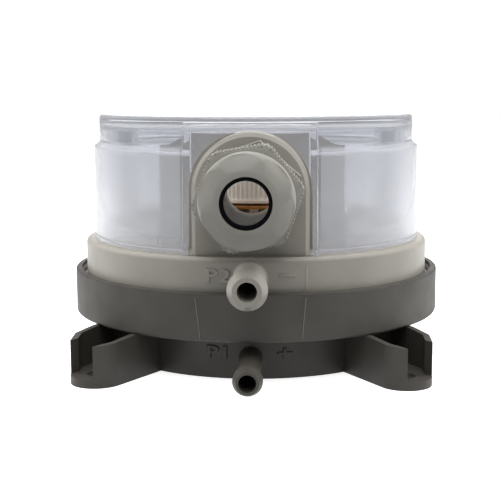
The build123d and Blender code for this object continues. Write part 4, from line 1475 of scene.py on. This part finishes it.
    def tube(
        self, name: str, outside: Sequence[Pair], inside: Sequence[Pair]
    ) -> bpy.types.Object:
        """Return a turned piece with a turned bore right through it."""
        piece = self.turned(name, outside, self.ring_segments)
        bore = self.turned(f"{name}_bore", inside, self.ring_segments)
        combine(piece, bore, Join.CUT)
        tidy_mesh(piece)
        return piece

    def seal(self) -> bpy.types.Object:
        """Return the short rubber ring that shows in the nut's mouth."""
        nose_r = self.mouth_r - self.seal_gap
        outside = [(nose_r, self.seal_back), (nose_r, self.nut_front - self.seal_gap)]
        inside = [
            (self.seal_bore_r, self.seal_back - self.corner),
            (self.seal_bore_r, self.nut_front + self.corner),
        ]
        return self.tube("gland_seal_ring", outside, inside)

    def liner(self) -> bpy.types.Object:
        """Return the plain bore of the body, which shows past the seal."""
        front = self.seal_back - self.seal_gap
        outside = [
            (self.liner_r, self.liner_back),
            (self.liner_r, self.liner_front),
            (self.liner_throat_r + self.seal_gap, front),
        ]
        inside = [
            (self.liner_bore_r, self.liner_back - self.corner),
            (self.liner_bore_r, self.liner_throat),
            (self.liner_throat_r, self.liner_throat + self.seal_gap),
            (self.liner_throat_r, front + self.corner),
        ]
        return self.tube("gland_liner", outside, inside)


@dataclass
class Mechanism:
    """Everything that moves or switches under the cover."""

    finishes: dict[str, Finish] = field(
        default_factory=lambda: {
            "diaphragm": SILICONE_RUBBER,
            "lower_plate": ROLLED_ALUMINIUM,
            "upper_plate": ROLLED_ALUMINIUM,
            "push_rod": IVORY_PBT,
            "knob_bridge": IVORY_PBT,
            "bridge_screws": ZINC_STEEL,
            "rocker": IVORY_PBT,
            "rocker_pin": ZINC_STEEL,
            "spring_seat": WHITE_ACETAL,
            "range_spring": SPRING_WIRE,
            "adjusting_knob": WHITE_ACETAL,
            "contact_carrier": IVORY_PBT,
            "com_terminal": STAMPED_BRASS,
            "nc_contact": STAMPED_BRASS,
            "no_contact": STAMPED_BRASS,
            "contact_blade": ROLLED_COPPER,
            "com_screw": ZINC_STEEL,
            "nc_screw": ZINC_STEEL,
            "no_screw": ZINC_STEEL,
        }
    )
    dial_z: float = 46.5 * MM
    tick_count: int = 30
    tick_open: int = 5
    tick_inner_r: float = 10.3 * MM
    tick_outer_r: float = 11.7 * MM
    tick_width: float = 0.28 * MM
    print_depth: float = 0.04 * MM
    number_r: float = 8.3 * MM
    number_height: float = 1.9 * MM
    numbers: tuple[str, ...] = ("1", "2", "3", "4", "5", "6")

    def build(self) -> None:
        """Dress every node of the mechanism and print the dial."""
        for node, finish in self.finishes.items():
            dress(node, finish)
        finish_piece(self.ticks(), "adjusting_knob", DIAL_INK)
        for index, number in enumerate(self.numbers):
            piece = self.dial_number(index, number)
            finish_piece(piece, "adjusting_knob", DIAL_INK)

    def ticks(self) -> bpy.types.Object:
        """Return the dial's ring of ticks, open where the scale ends."""
        first = raised_bar(
            "dial_ticks",
            (0.0, self.tick_inner_r, self.dial_z),
            (0.0, self.tick_outer_r, self.dial_z),
            (0.0, 0.0, 1.0),
            self.tick_width,
            self.print_depth,
        )
        step = 2 * pi / self.tick_count
        reach = (self.tick_count - self.tick_open) // 2
        turns = [index for index in range(-reach, reach + 1) if index]
        return copies(first, [Matrix.Rotation(step * index, 4, "Z") for index in turns])

    def dial_number(self, index: int, number: str) -> bpy.types.Object:
        """Return one number of the dial.

        Args:
            index: its place in the row of numbers.
            number: its characters.

        Returns:
            The number's mesh on the knob's top, upright when it is read from the middle.
        """
        span = 2 * pi * (self.tick_count - self.tick_open - 1) / self.tick_count
        turn = span / 2 - span * index / (len(self.numbers) - 1)
        place = (
            Matrix.Rotation(turn, 4, "Z")
            @ Matrix.Translation((0.0, self.number_r, self.dial_z))
        )
        return raised_text(
            f"dial_number_{number}", number, self.number_height, self.print_depth, 1.0, place
        )


def main() -> None:
    """Build the studio and each sub-assembly, and report each one."""
    logging.basicConfig(level=logging.INFO, format="%(name)s: %(message)s")
    bpy.context.scene.view_settings.view_transform = "Standard"
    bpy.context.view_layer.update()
    for part in (Studio(), Housings(), CoverSet(), CableGland(), Mechanism()):
        part.build()
        log.info("built %s", type(part).__name__)


if __name__ == "__main__":
    main()
